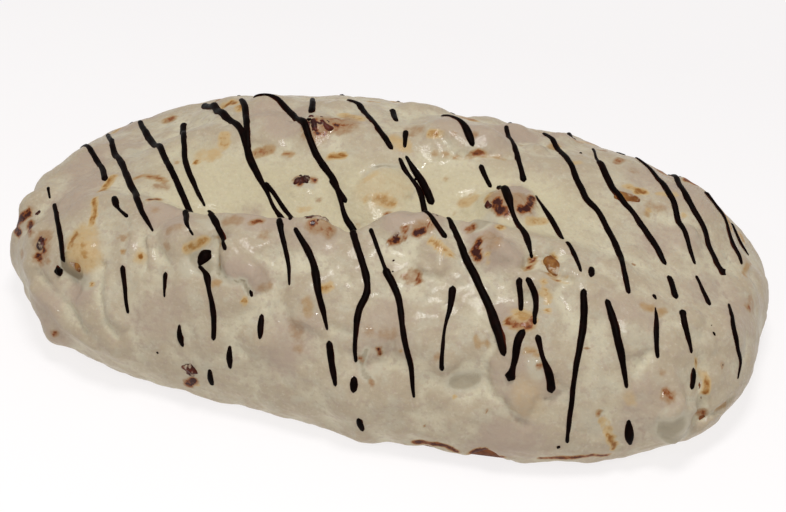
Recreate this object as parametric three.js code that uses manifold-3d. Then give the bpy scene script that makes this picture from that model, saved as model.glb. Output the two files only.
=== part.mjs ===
// An iced stollen: a long oval loaf with one folded side, studded with raisins and candied peel,
// coated in cream icing down to a wavy foot and striped with thin dark chocolate.
//
// Millimetres. +X runs along the loaf, -Y is the side that shows the lip of the fold, +Z is up.
// The origin is the middle of the footprint, on the surface that the loaf stands on.
// A place on the coat is given as a station: its x, and the roll angle around the long axis,
// 0 at the waist of the -Y side, 90 straight up and 180 at the waist of the +Y side.

import * as THREE from 'three';
import { mergeVertices } from 'three/addons/utils/BufferGeometryUtils.js';
import Module from 'manifold-3d';

const wasm = await Module();
wasm.setup();

// ---------------------------------------------------------------- driving dimensions

const HALF_LENGTH = 100;
const HALF_WIDTH = 55.5;
const TOP = 49; // the dome's height, before its lumps
const WAIST = 12; // the height at which the sides are widest
const TUCK = 27; // the depth in which the sides would close below the waist
const PLAN_POWER = 2.75; // 2 would be an ellipse, more is squarer

const ICING = 1.5;
const GAP = 0.3; // left between two solids that touch
const FOOT_LOW = 1; // the icing's lower edge above the table
const FOOT_WAVE = 0.9; // how much that edge wanders
// Where the icing stops short in an arch that bares the crust: [turn in degrees, half span, rise].
const FOOT_ARCHES = [
  [-62.5, 6, 1.2], [-49.5, 5, 2.6], [-32, 6, 1.2], [-126.5, 4, 2.2], [20, 6, 1.6], [75, 5, 2],
  [128, 7, 1.5], [160, 5, 2],
];

const STROKE_RISE = 0.85; // the chocolate's height above the icing
const STROKE_SINK = 0.7; // and its root inside it
const STROKE_STEP = 10;
const STROKE_END = 0.55; // the width of a stroke's tip, as a share of its own
const FRUIT_POKE = 0.7; // how far a fruit's back stands out of the icing

// The faces along, across and up each solid.
const COLUMNS = 26;
const ROWS = 14;
const SIDES = 5;

// Lumps that fruit and folds make under the icing: [x, roll, radius, height].
const LUMPS = [
  [33, 80, 9.5, 4.2], [27, 81, 6, 1.4], [29, 63, 8, 2], [16.5, 58, 6, 2.4], [9, 54, 7, 2.2],
  [-10, 51, 8, 2.2], [-30, 47, 9, 1.2], [-22, 101, 9, 2.8], [-13, 108, 8, 1.4], [-1, 75, 13, 2.6],
  [-21, 74, 6, 1], [-46, 124, 12, 2.8], [-38, 112, 10, 1.4], [-84, 118, 11, 1.8], [10, 116, 13, 2.6],
  [22, 113, 9, 1.2], [76, 130, 16, 3.4], [60, 136, 13, 1.6], [63, 110, 9, 0.8], [-70.5, 27, 8, 2.6],
  [-86, 27, 7, 1.8], [-92, 39, 7, 1.8], [-45, 37, 7.5, 2.2], [-29, 37, 6, 1.4], [-25, 25, 9, 1.8],
  [-6, 27, 9, 1.6], [-62, 8, 12, 1.6], [-78, 2, 10, 1.2], [32, 51, 7, 2.2], [38.5, 50, 7, 1.8],
  [54, 49, 7, 1.2], [45, 30, 8, 1.8], [51, 20, 14, 2.6], [24, 22, 11, 1.2], [84.5, 5, 8.5, 3.6],
  [78, 14, 9, 1.8], [80, 26, 9, 1.2], [70, 35, 10, 1.2], [60, 42, 9, 1.4], [12, 38, 6, 0.8],
  [2, 8, 12, 1.4], [8, -12, 9, 2.4],
];
// Hollows and creases, in the same terms.
const HOLLOWS = [
  [-36, 34, 6.5, -2.4], [-71.5, 17, 6.5, -1.8], [35, 12, 8, -2], [13, 15, 6, -1.2],
  [28.5, 52, 4, -1], [44, 50, 5, -1.5], [49, 54, 5, -1.8], [46, 37, 5, -1.4], [90, 2, 5, -2.6],
  [89, 20, 6, -1.6], [31, 124, 14, -2], [-62, 120, 10, -1],
];
const SMALL_LUMPS = 150;

// Fruit that breaks through the icing: [x, roll, length, width, turn in degrees].
const RAISINS = [
  [33, 81, 12, 8, 10], [-21, 101, 9, 7, 0], [-21, 75, 7, 5.5, 15], [-10, 49.5, 8, 6, 0],
  [10, 52.5, 6, 5.5, 0], [17, 58, 6.5, 6, 0], [31.5, 51, 6, 7, 0], [-91, 37, 7, 6, 60],
  [-85.5, 25.5, 6, 5, 70], [-36.5, 1, 6, 5, 20],
];
const PEELS = [
  [-70.5, 27.5, 9, 6, 60], [60, 112, 7, 4, 0], [50, 52.5, 7, 3.5, -50], [45.5, 33.5, 7, 5, -30],
];
const RAISIN_HEIGHT = 6;
const PEEL_HEIGHT = 4.5;
const BACK_FRUIT = 4; // more of the same on the side that the fold hides
const BACK_FRUIT_SPACING = 28;

// The chocolate, laid across the loaf in broken strokes: [width, [x, roll], [x, roll], ...].
const STROKES = [
  [1.8, [-86, 43], [-80, 32], [-75, 22]],
  [1.7, [-92, 125], [-83, 85], [-77.5, 58]],
  [1.9, [-83, 128], [-80, 105], [-69.5, 64], [-60.5, 49], [-52, 36]],
  [1.8, [-67.5, 49], [-66, 45], [-61, 41]],
  [2, [-75, 137], [-71, 122], [-59.5, 76], [-47, 47], [-40, 40]],
  [1.8, [-37.5, 29], [-34.3, 27], [-32, 21], [-30, 12]],
  [1.9, [-61, 125], [-58, 90], [-49.4, 60], [-44.5, 50]],
  [1.8, [-42, 47], [-34.8, 43], [-30.2, 36]],
  [2.1, [-57, 132], [-50.4, 109], [-38.4, 84], [-30, 68], [-19.8, 47], [-12.8, 30]],
  [1.7, [-30, 69], [-25, 62], [-20.8, 53]],
  [2, [-47, 122], [-42, 100], [-37.6, 84]],
  [2.1, [-44.5, 121], [-36.7, 113], [-23.4, 95], [-16, 79], [-4.5, 56], [5.7, 34], [5.3, 26], [6.7, 13]],
  [1.9, [-15.5, 47], [-10, 39.5], [-5.8, 31], [-1.5, 20]],
  [2.1, [-0.8, 17.5], [0.5, 13], [2.8, 7]],
  [1.8, [2.5, 52], [8.7, 40], [15, 30], [20.2, 16], [22.3, 7]],
  [1.9, [-29, 122], [-25.5, 107]],
  [2, [-18.5, 121], [-10, 107], [-0.6, 97]],
  [1.8, [1.6, 92], [6.4, 85], [14, 63], [22, 53]],
  [1.7, [2.7, 94], [7, 89], [14, 76.5]],
  [1.9, [-7.5, 122], [-3.5, 109]],
  [1.8, [0.3, 106], [2.3, 97]],
  [1.9, [1.5, 122], [9, 118], [19.3, 104.5]],
  [1.5, [22, 101], [26.7, 91]],
  [1.9, [35.6, 72], [40, 62], [43.2, 52]],
  [1.9, [21, 128], [27, 117], [34.5, 95]],
  [1.6, [38, 92], [44, 79], [48.5, 67]],
  [1.5, [50, 65], [53.7, 57], [56, 51]],
  [1.9, [30.5, 128], [40.4, 118], [50.2, 98], [60.3, 75], [68.6, 46]],
  [1.9, [46.5, 127], [56.6, 109], [64.3, 98], [73, 70]],
  [1.9, [75.3, 66], [79, 51]],
  [1.8, [55, 141], [65.7, 133], [76.4, 99], [80.3, 80]],
  [1.7, [81.5, 76], [86.6, 54]],
  [2, [66, 150], [76.7, 120], [86, 88]],
  [1.7, [78, 158], [85, 132], [90, 105]],
  [1.7, [84, 160], [87, 148], [92.5, 128]],
  [1.6, [90, 66], [93, 42], [96, 22]],
  [1.7, [81, 46], [85.5, 27]],
  [1.6, [75, 46], [78.4, 25]],
  [1.9, [63.5, 43], [68.6, 29.5], [72.5, 15]],
  [2, [57.8, 45], [59.6, 31], [60.6, -1]],
  [1.9, [42, 44.5], [44.2, 34]],
  [1.8, [43.8, 45], [46.5, 40], [48.7, 31]],
  [2.4, [20, 63], [28.4, 47], [35, 36], [43, 21.5]],
  [1.9, [26.4, 38], [27.2, 28], [28.5, 15]],
  [2.4, [45.5, 28.5], [45.7, 21], [45.2, 15.5]],
  [2.1, [49.7, 28.5], [53, 22], [55.6, 12.5]],
  [1.8, [-58.2, 26], [-54.3, 13]],
];
// Where the same passes of chocolate leave the crest for the far side.
const CREST_CROSSINGS = [-84, -69, -53, -38, -24, -9, 7, 24, 41, 56, 70];
const CREST_ROLL = 134;
const FOOT_ROLL = 178;
const BACK_LEAN = 0.18; // mm that a stroke goes along the loaf for each degree on its way down
const BACK_GAP = 5; // degrees between two strokes of one pass

// ---------------------------------------------------------------- the coat's surface

const FLOOR_CENTRE = new THREE.Vector3(0, 0, 0);
const { degToRad, radToDeg, smoothstep } = THREE.MathUtils;
const ease = (value) => smoothstep(value, 0, 1);

// A seeded run of numbers from 0 to 1.
function randomFrom(seed) {
  let state = seed;
  return () => {
    state = (state * 1664525 + 1013904223) % 4294967296;
    return state / 4294967296;
  };
}

// 0 on the loaf's axis and 1 on the plain dome.
function gauge(x, y, z) {
  const plan = Math.abs(x / HALF_LENGTH) ** PLAN_POWER + Math.abs(y / HALF_WIDTH) ** PLAN_POWER;
  const reach = z > WAIST ? TOP - WAIST : TUCK;
  return Math.hypot(plan ** (1 / PLAN_POWER), (z - WAIST) / reach);
}

// The point of the plain dome at a station.
function station(x, roll) {
  const angle = degToRad(roll);
  let inside = 0;
  let outside = 2 * HALF_WIDTH;
  for (let halving = 0; halving < 30; halving += 1) {
    const middle = (inside + outside) / 2;
    const within = gauge(x, -middle * Math.cos(angle), WAIST + middle * Math.sin(angle)) < 1;
    inside = within ? middle : inside;
    outside = within ? outside : middle;
  }
  return new THREE.Vector3(x, -inside * Math.cos(angle), WAIST + inside * Math.sin(angle));
}

// The y of the fold's lip, which wanders as it runs along the loaf.
function lipLine(x) {
  return -28 + 8.5 * ease((x + 4) / 14) + 1.5 * ease((x - 20) / 20) + 10 * ease((-x - 38) / 45);
}

// The fold: a crest along the lip, the drop behind it and the long valley that rises to the back.
function foldHeight(x, y) {
  const past = y - lipLine(x);
  const along = ease((x + 95) / 28) * ease((92 - x) / 50);
  const middle = ease((x + 62) / 30) * ease((40 - x) / 30);
  const drop = (2.6 + 4.6 * middle) * along * ease(past / (7.5 - 3 * middle));
  const back = ease((past - 20) / 14) * ease((52 - y) / 22) * ease((55 - x) / 40) * ease((x + 85) / 30);
  const crest = (1 + 1.4 * middle) * along * Math.exp(-(((past + 6) / 6.5) ** 2));
  return crest + 1.2 * back - drop * (1 - ease((past - 9) / 28));
}

// Small lumps all over, lower where the icing has pooled smooth.
function smallLumps() {
  const random = randomFrom(7);
  const lumps = [];
  while (lumps.length < SMALL_LUMPS) {
    const x = (2 * random() - 1) * 96;
    const roll = -8 + 196 * random();
    const radius = 4.5 + 5.5 * random();
    const height = 0.5 + 1.3 * random();
    const centre = station(x, roll);
    const past = centre.y - lipLine(x);
    const valley = past > 0 && past < 32 && Math.abs(x + 5) < 75;
    const smooth = valley || (x > 35 && roll > 60 && roll < 100) || (x < -86 && roll < 20);
    lumps.push({ centre, radius, height: smooth ? 0.25 * height : height });
  }
  return lumps;
}

const namedLump = ([x, roll, radius, height]) => ({ centre: station(x, roll), radius, height });
const ALL_LUMPS = [...LUMPS.map(namedLump), ...HOLLOWS.map(namedLump), ...smallLumps()];

// An uneven swell: seven sine waves in seeded directions.
function swell(wave, seed) {
  const random = randomFrom(seed);
  const waves = Array.from({ length: 7 }, () => {
    const rise = 2 * random() - 1;
    const turn = 2 * Math.PI * random();
    const level = Math.sqrt(1 - rise * rise);
    const number = (2 * Math.PI) / (wave * (0.8 + 0.5 * random()));
    const direction = new THREE.Vector3(level * Math.cos(turn), level * Math.sin(turn), rise);
    return { direction: direction.multiplyScalar(number), phase: 2 * Math.PI * random() };
  });
  const height = (point) => waves.reduce((sum, w) => sum + Math.sin(point.dot(w.direction) + w.phase), 0);
  return (point) => height(point) / Math.sqrt(7);
}
const longSwell = swell(34, 3);
const shortSwell = swell(15, 11);

// How far the lumps and swells push the coat outwards at a point of the plain dome.
function relief(point) {
  let height = 0.5 * longSwell(point) + 0.22 * shortSwell(point);
  for (const lump of ALL_LUMPS) {
    const reach = point.distanceTo(lump.centre) / lump.radius;
    if (reach < 1) height += lump.height * (1 - reach * reach) ** 2;
  }
  return height;
}

// The loaf isn't quite straight: its -X end is narrower and swings to the front.
function bend({ x, y, z }) {
  const left = ease((-x - 15) / 75);
  const right = ease((x - 60) / 50);
  const side = y / HALF_WIDTH;
  const slack = 2.2 * ease((x + 20) / 40) * ease(-y / 30) * ease((26 - z) / 20);
  const backWard = -4.5 * left * side - 1.5 * Math.exp(-((x / 60) ** 2)) * side;
  const frontWard = -2 * left * side - slack;
  return new THREE.Vector3(
    x - 1.2 * left - 0.8 * right,
    y - 3 * left + (y > 0 ? backWard : frontWard),
    z * (1 - 0.06 * ease((-x - 25) / 60) * ease((y + 20) / 50)),
  );
}

// The coat's point at a turn around the loaf and a tilt from the top, less an inset.
function coatPoint(turn, tilt, inset) {
  const cos = Math.cos(turn) / HALF_LENGTH;
  const sin = Math.sin(turn) / HALF_WIDTH;
  const radius = (Math.abs(cos) ** PLAN_POWER + Math.abs(sin) ** PLAN_POWER) ** (-1 / PLAN_POWER);
  const level = Math.sin(tilt);
  const reach = tilt < Math.PI / 2 ? TOP - WAIST : TUCK;
  const point = new THREE.Vector3(
    level * radius * Math.cos(turn),
    level * radius * Math.sin(turn),
    WAIST + reach * Math.cos(tilt),
  );
  const slope = (share) => level * Math.sign(share) * Math.abs(share * radius) ** (PLAN_POWER - 1);
  const normal = new THREE.Vector3(
    slope(cos) / HALF_LENGTH,
    slope(sin) / HALF_WIDTH,
    Math.cos(tilt) / reach,
  ).normalize();
  const fold = foldHeight(point.x, point.y) * ease(1.6 * Math.max(normal.z, 0));
  const push = relief(point);
  const grip = ease(point.z / 8); // near the table the relief only goes sideways
  const coat = point.clone().addScaledVector(normal, -inset);
  coat.x += push * normal.x;
  coat.y += push * normal.y;
  coat.z += push * normal.z * grip + fold;
  return bend(coat);
}

// ---------------------------------------------------------------- solids

// A closed geometry with its shared corners merged and its flattened faces dropped, as a solid
// for cutting and joining.
function solidOf(geometry) {
  const bare = geometry.clone();
  bare.deleteAttribute('normal');
  bare.deleteAttribute('uv');
  const merged = mergeVertices(bare, 1e-4);
  const corners = merged.index.array;
  const faces = [];
  for (let i = 0; i < corners.length; i += 3) {
    const face = corners.slice(i, i + 3);
    if (new Set(face).size === 3) faces.push(...face);
  }
  return new wasm.Manifold(
    new wasm.Mesh({
      numProp: 3,
      vertProperties: Float32Array.from(merged.attributes.position.array),
      triVerts: Uint32Array.from(faces),
    }),
  );
}

// The faces of the largest connected skin, so that a bubble sealed between two strokes is
// filled and a loose scrap is dropped.
function largestSkin(faces, cornerCount) {
  const parent = Array.from({ length: cornerCount }, (_, i) => i);
  const root = (corner) => {
    let top = corner;
    while (parent[top] !== top) top = parent[top];
    parent[corner] = top;
    return top;
  };
  const skins = new Map();
  for (let i = 0; i < faces.length; i += 3) {
    parent[root(faces[i + 1])] = root(faces[i]);
    parent[root(faces[i + 2])] = root(faces[i]);
  }
  for (let i = 0; i < faces.length; i += 3) {
    const skin = root(faces[i]);
    if (!skins.has(skin)) skins.set(skin, []);
    skins.get(skin).push(faces[i], faces[i + 1], faces[i + 2]);
  }
  return [...skins.values()].reduce((most, skin) => (skin.length > most.length ? skin : most));
}

function geometryOf(solid) {
  const { vertProperties, triVerts } = solid.getMesh();
  const geometry = new THREE.BufferGeometry();
  geometry.setAttribute('position', new THREE.BufferAttribute(vertProperties, 3));
  geometry.setIndex(largestSkin(triVerts, vertProperties.length / 3));
  geometry.computeVertexNormals();
  return geometry;
}

// Moves every corner of a geometry to where a function puts it.
function reshape(geometry, place) {
  const { position } = geometry.attributes;
  const corner = new THREE.Vector3();
  for (let i = 0; i < position.count; i += 1) {
    corner.fromBufferAttribute(position, i);
    position.setXYZ(i, ...place(corner).toArray());
  }
  return geometry;
}

// A domed solid under the coat: a half box rounded to a half ball and then to the loaf.
// Its foot lies at footHeight(turn), and the box's floor is gathered to one point between.
function dome(inset, footHeight) {
  const box = new THREE.BoxGeometry(2, 2, 1, COLUMNS, ROWS, SIDES).translate(0, 0, 0.5);
  const lowest = Math.PI / 2 + Math.asin((WAIST + 0.7 * inset) / TUCK);
  return reshape(box, ({ x, y, z }) => {
    const ball = new THREE.Vector3(
      x * Math.sqrt(1 - (y * y + z * z) / 2 + (y * y * z * z) / 3),
      y * Math.sqrt(1 - (z * z + x * x) / 2 + (z * z * x * x) / 3),
      z * Math.sqrt(1 - (x * x + y * y) / 2 + (x * x * y * y) / 3),
    );
    const turn = Math.atan2(HALF_WIDTH * ball.y, HALF_LENGTH * ball.x);
    if (z > 0) return coatPoint(turn, (Math.acos(ball.z) * lowest) / (Math.PI / 2), inset);
    const onFoot = Math.max(Math.abs(x), Math.abs(y)) === 1;
    return onFoot ? coatPoint(turn, lowest, inset).setZ(footHeight(turn)) : FLOOR_CENTRE.clone();
  });
}

// The height of the icing's lower edge, which ran down further in some places than in others.
function icingFoot(turn) {
  const wave = 0.5 + 0.3 * Math.sin(5 * turn + 1) + 0.2 * Math.sin(11 * turn + 2.2);
  const arches = FOOT_ARCHES.reduce((height, [middle, span, rise]) => {
    const away = (radToDeg(turn) - middle) / span;
    return height + rise * Math.exp(-away * away);
  }, 0);
  return FOOT_LOW + FOOT_WAVE * wave + arches;
}

const outerDome = dome(0, icingFoot);
const probe = new THREE.Mesh(outerDome, new THREE.MeshBasicMaterial({ side: THREE.DoubleSide }));
const ray = new THREE.Raycaster();

// The coat's faceted surface at a station, found by looking out from the loaf's long axis.
function onCoat(x, roll) {
  const angle = degToRad(roll);
  const outward = new THREE.Vector3(0, -Math.cos(angle), Math.sin(angle));
  ray.set(new THREE.Vector3(x, 0, WAIST), outward);
  const [hit] = ray.intersectObject(probe);
  return { point: hit.point, normal: hit.face.normal.clone() };
}

// ---------------------------------------------------------------- fruit

// A fruit's seat: the middle of its body, sunk in the loaf with its back out of the icing.
function seat([x, roll, length, width, turn], height) {
  const { point, normal } = onCoat(x, roll);
  const middle = point.addScaledVector(normal, FRUIT_POKE - height / 2);
  const along = new THREE.Vector3(1, 0, 0).projectOnPlane(normal).normalize();
  along.applyAxisAngle(normal, degToRad(turn));
  const frame = new THREE.Matrix4().makeBasis(along, normal.clone().cross(along), normal);
  return { middle, frame, half: new THREE.Vector3(length / 2, width / 2, height / 2) };
}

// A dimpled ball, stretched to the fruit and grown all round by a clearance.
function fruitBody({ middle, frame, half }, clearance) {
  return reshape(new THREE.IcosahedronGeometry(1, 1), (corner) => {
    const dimple = 1 - 0.07 * Math.sin(5 * corner.x + 2) * Math.cos(6 * corner.y);
    const size = half.clone().multiplyScalar(dimple).addScalar(clearance);
    return corner.multiply(size).applyMatrix4(frame).add(middle);
  });
}

// The six-sided pocket in the dough that a fruit sits in.
function fruitPocket({ middle, frame, half }) {
  const prism = new THREE.CylinderGeometry(1, 1, 2, 6).rotateX(Math.PI / 2);
  const corners = Math.cos(Math.PI / 6);
  return reshape(prism, (corner) => {
    const size = half.clone().addScalar(2 * GAP);
    size.x /= corners;
    size.y /= corners;
    return corner.multiply(size).applyMatrix4(frame).add(middle);
  });
}

// More fruit on the far side, spread by seeded draws that keep their distance.
function backFruit() {
  const random = randomFrom(41);
  const spots = [];
  while (spots.length < BACK_FRUIT) {
    const spot = [(2 * random() - 1) * 78, 136 + 34 * random(), 6 + 3 * random(), 5, 180 * random()];
    const point = station(spot[0], spot[1]);
    const free = spots.every((other) => station(other[0], other[1]).distanceTo(point) > BACK_FRUIT_SPACING);
    if (free) spots.push(spot);
  }
  return spots;
}

const backSpots = backFruit();
const raisinSpots = [...RAISINS, ...backSpots.filter((spot, i) => i % 2 === 0)];
const peelSpots = [...PEELS, ...backSpots.filter((spot, i) => i % 2 === 1)];
const raisinSeats = raisinSpots.map((spot) => seat(spot, RAISIN_HEIGHT));
const peelSeats = peelSpots.map((spot) => seat(spot, PEEL_HEIGHT));
const allSeats = [...raisinSeats, ...peelSeats];
const icingHoles = allSeats.map((place) => solidOf(fruitBody(place, 1.15 * GAP)));
const loafPockets = allSeats.map((place) => solidOf(fruitPocket(place)));

// ---------------------------------------------------------------- chocolate

// A stroke's route over the coat, as runs of points that keep clear of the fruit.
function strokeRuns(stations) {
  const path = new THREE.SplineCurve(stations.map(([x, roll]) => new THREE.Vector2(x, roll)));
  const rough = path.getPoints(4 * stations.length).map(({ x, y }) => onCoat(x, y).point);
  const length = rough.reduce((sum, point, i) => sum + (i ? point.distanceTo(rough[i - 1]) : 0), 0);
  const steps = Math.max(2, Math.round(length / STROKE_STEP));
  const runs = [[]];
  for (let step = 0; step <= steps; step += 1) {
    const spot = path.getPoint(step / steps);
    const place = onCoat(spot.x, spot.y);
    const clear = allSeats.every(({ middle, half }) => place.point.distanceTo(middle) > half.x + 2);
    if (clear) runs.at(-1).push(place);
    else runs.push([]);
  }
  return runs.filter((run) => run.length > 1);
}

// A three-sided bar bent along a run: one edge is the ridge of the chocolate, the others are
// sunk in the icing, spread so that the sides leave it at the stroke's width.
function strokeBody(run, width) {
  const last = run.length - 1;
  const bar = new THREE.CylinderGeometry(1, 1, 1, 3, last);
  const spread = (width / 2) * (1 + STROKE_SINK / STROKE_RISE);
  return reshape(bar, (corner) => {
    const row = Math.round((0.5 - corner.y) * last);
    const { point, normal } = run[row];
    const ahead = run[Math.min(row + 1, last)].point.clone().sub(run[Math.max(row - 1, 0)].point);
    const across = normal.clone().cross(ahead).normalize();
    const size = row === 0 || row === last ? STROKE_END : 1;
    return point
      .clone()
      .addScaledVector(across, Math.round(corner.x) * spread * size)
      .addScaledVector(normal, corner.z > 0.9 ? STROKE_RISE * size : -STROKE_SINK * Math.ceil(-corner.z));
  });
}

// The passes that come down the far side, each broken by seeded gaps.
function backStrokes() {
  const random = randomFrom(23);
  return CREST_CROSSINGS.flatMap((crossing) => {
    const at = (roll) => [crossing - BACK_LEAN * (roll - CREST_ROLL), Math.min(roll, FOOT_ROLL)];
    const start = CREST_ROLL + 10 * random();
    const end = start + 10 + 8 * random();
    const next = end + BACK_GAP;
    const low = next + 8 + 14 * random();
    const upper = [1.8, at(start), at(end)];
    const lower = [1.7, at(next), at(low)];
    return random() < 0.75 ? [upper, lower] : [upper];
  });
}

const strokes = [...STROKES, ...backStrokes()].flatMap(([width, ...stations]) =>
  strokeRuns(stations).map((run) => solidOf(strokeBody(run, width))),
);

// ---------------------------------------------------------------- the pieces

const loafSolid = loafPockets.reduce(
  (loaf, pocket) => loaf.subtract(pocket),
  solidOf(dome(ICING, () => 0)),
);
const underIcing = solidOf(dome(ICING - GAP, () => -GAP));
const icingSolid = icingHoles.reduce(
  (icing, hole) => icing.subtract(hole),
  strokes.reduce((coat, stroke) => coat.add(stroke), solidOf(outerDome)).subtract(underIcing),
);

function piece(name, geometry, color, roughness) {
  const material = new THREE.MeshStandardMaterial({ color, roughness, metalness: 0 });
  const mesh = new THREE.Mesh(geometry, material);
  mesh.name = name;
  return mesh;
}

const stollen = new THREE.Group();
stollen.add(piece('loaf', geometryOf(loafSolid), '#8a5a34', 0.85));
stollen.add(piece('icing', geometryOf(icingSolid), '#d6cdb4', 0.4));
raisinSeats.forEach((place, i) => {
  stollen.add(piece(`raisin_${i + 1}`, fruitBody(place, 0), '#3a1d18', 0.5));
});
peelSeats.forEach((place, i) => {
  stollen.add(piece(`peel_${i + 1}`, fruitBody(place, 0), '#b0722c', 0.45));
});

// The footprint's middle goes to the origin.
const bounds = new THREE.Box3().setFromObject(stollen);
const middle = bounds.getCenter(new THREE.Vector3());
stollen.position.set(-middle.x, -middle.y, -bounds.min.z);

export default stollen;
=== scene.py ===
"""An iced stollen: a long oval loaf with one folded side, raisins and candied peel under a
satin coat of cream icing, and thin dark chocolate poured across it in broken strokes.

Shapes are worked out in millimetres and turned into metres where a mesh is made.
A place on the coat is a station: its x, and the roll angle around the long axis,
0 at the waist of the front, 90 straight up and 180 at the waist of the back.
"""

import math

import bmesh
import bpy
import numpy as np
from mathutils import Matrix, Vector, noise
from mathutils.bvhtree import BVHTree


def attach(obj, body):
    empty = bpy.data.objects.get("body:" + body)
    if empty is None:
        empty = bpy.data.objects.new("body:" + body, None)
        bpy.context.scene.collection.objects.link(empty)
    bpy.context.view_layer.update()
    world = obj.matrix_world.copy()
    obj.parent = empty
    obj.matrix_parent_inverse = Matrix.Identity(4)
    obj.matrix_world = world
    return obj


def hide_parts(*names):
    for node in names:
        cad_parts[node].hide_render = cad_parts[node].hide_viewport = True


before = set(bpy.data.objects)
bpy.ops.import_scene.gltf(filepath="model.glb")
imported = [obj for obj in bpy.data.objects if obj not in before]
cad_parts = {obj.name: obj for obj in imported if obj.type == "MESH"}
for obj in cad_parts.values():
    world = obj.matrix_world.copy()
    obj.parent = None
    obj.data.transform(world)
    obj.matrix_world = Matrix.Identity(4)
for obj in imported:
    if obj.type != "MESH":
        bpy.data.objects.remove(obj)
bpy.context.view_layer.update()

bl_info = {
    "name": "Iced Stollen",
    "version": (1, 0, 0),
    "blender": (4, 5, 0),
    "location": "View3D > Sidebar > Stollen",
    "description": "Builds an iced stollen with raisins, candied peel and chocolate strokes",
    "category": "Add Mesh",
}

MM = 0.001

# ---------------------------------------------------------------- the loaf's sizes, in mm

HALF_LENGTH = 100.0
HALF_WIDTH = 55.5
TOP = 49.0  # the dome's height, before its lumps
WAIST = 12.0  # the height at which the sides are widest
TUCK = 27.0  # the depth in which the sides would close below the waist
PLAN_POWER = 2.75  # 2 would be an ellipse, more is squarer
CENTRING = np.array([1.016, 1.858, 0.0])  # brings the footprint's middle to the origin
GRIP_HEIGHT = 8.0  # below it, the relief only goes sideways, so that the foot stays flat

# The fold. A stretch is two such pairs as (-95, -67): none of it at the first, all of it at
# the second. A size is a pair too, of which the second number is added in the loaf's middle.
FOLD_X = ((-95, -67), (92, 42))
MIDDLE_X = ((-62, -32), (40, 10))
LIP_Y = -28.0
LIP_BENDS = [(8.5, -4, 10), (1.5, 20, 40), (10, -38, -83)]  # (mm to the back, from x, to x)
LIP_DROP = (2.6, 4.6)  # how far the loaf drops behind the lip,
LIP_RUN = (7.5, -3.0)  # and in how many mm
DROP_END = (9, 37)  # how far behind the lip it has risen again
CREST_RISE = (1.0, 1.4)  # how high the lip's crest stands,
CREST_BEFORE = 6.0  # its middle in front of the lip,
CREST_SPAN = 6.5  # and its half width
BACK_RISE = 1.2  # how high the back stands, from so far behind the lip, and where
BACK_PAST = (20, 34)
BACK_Y = (52, 30)
BACK_RIGHT = (55, 15)
BACK_LEFT = (-85, -55)
FOLD_FADE = 1.6  # the fold fades where the coat turns down to the sides

# Where the icing pooled, behind the lip: its x, its distance from the lip and its height.
POOL_X = ((-70, -45), (66, 36))
POOL_PAST = ((1, 6), (31, 19))
POOL_Z = (24, 34)

# The loaf isn't quite straight, nor the same at both ends.
LEFT_X = (-15, -90)
LEFT_SWING = 3.0  # how far the -X end swings to the front
LEFT_NARROWING = (4.5, 2.0)  # how much narrower it is behind and in front
LEFT_REACH = 1.2  # how much further out it goes
LEFT_SINKING = 0.06  # the share by which its back is lower
SINKING_X = (-25, -85)
SINKING_Y = (-20, 30)
RIGHT_X = (60, 110)
RIGHT_LOSS = 0.8  # how much shorter the +X end is
BACK_DENT = 1.5  # how much narrower the middle is behind
DENT_SPAN = 60
FRONT_SLACK = 2.2  # how far the front sags out low down
SLACK_X = (-20, 20)
SLACK_Y = (0, -30)
SLACK_Z = (26, 6)

ICING_DEPTH = 1.5  # the dough lies this far under the coat
RIM_DEPTH = 1.9  # the coat's lower edge reaches this far in, into the dough
LINING_DEPTH = 2.3  # and its hidden inner face lies here
RIM_DROP = 0.45  # how far the rounded lower edge bulges down
RIM_ROWS = 3
FOOT_LOW = 1.0  # the icing's lower edge above the table
FOOT_WAVE = 0.9  # how far its long waves go up
FOOT_RIPPLE = 0.22
FOOT_FRILL = 0.12
FOOT_ARCHES = [  # where the icing bares the crust: (turn in degrees, half span, rise)
    (-62.5, 5, 3.0), (-51.5, 3.2, 6.2), (-38, 6, 1.8), (-126.5, 4, 2.2), (20, 6, 1.6), (75, 5, 2),
    (128, 7, 1.5), (160, 5, 2),
]
SKIRT = (-42, 26, 1.2)  # where the foot stands further out: (turn in degrees, half span, depth)
SKIRT_HEIGHT = 11.0
CRUST_PUSH = 1.6  # the dough's foot comes out by so much of the skirt's depth once more
CRUST_HEIGHT = 6.0

COAT_GRID = (264, 132, 60)  # faces along, across and up the coat
LINING_SHARE = 4  # the coat's inner face has one face for so many, each way
DOUGH_SHARE = 2
DOUGH_BELOW = 0.7  # the dough's foot is cut so many icing depths under the table, then lifted
HOLLOW_EDGE = 0.12  # the share of the way in over which the underside rises
HOLLOW_SIZE = 7.0

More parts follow.
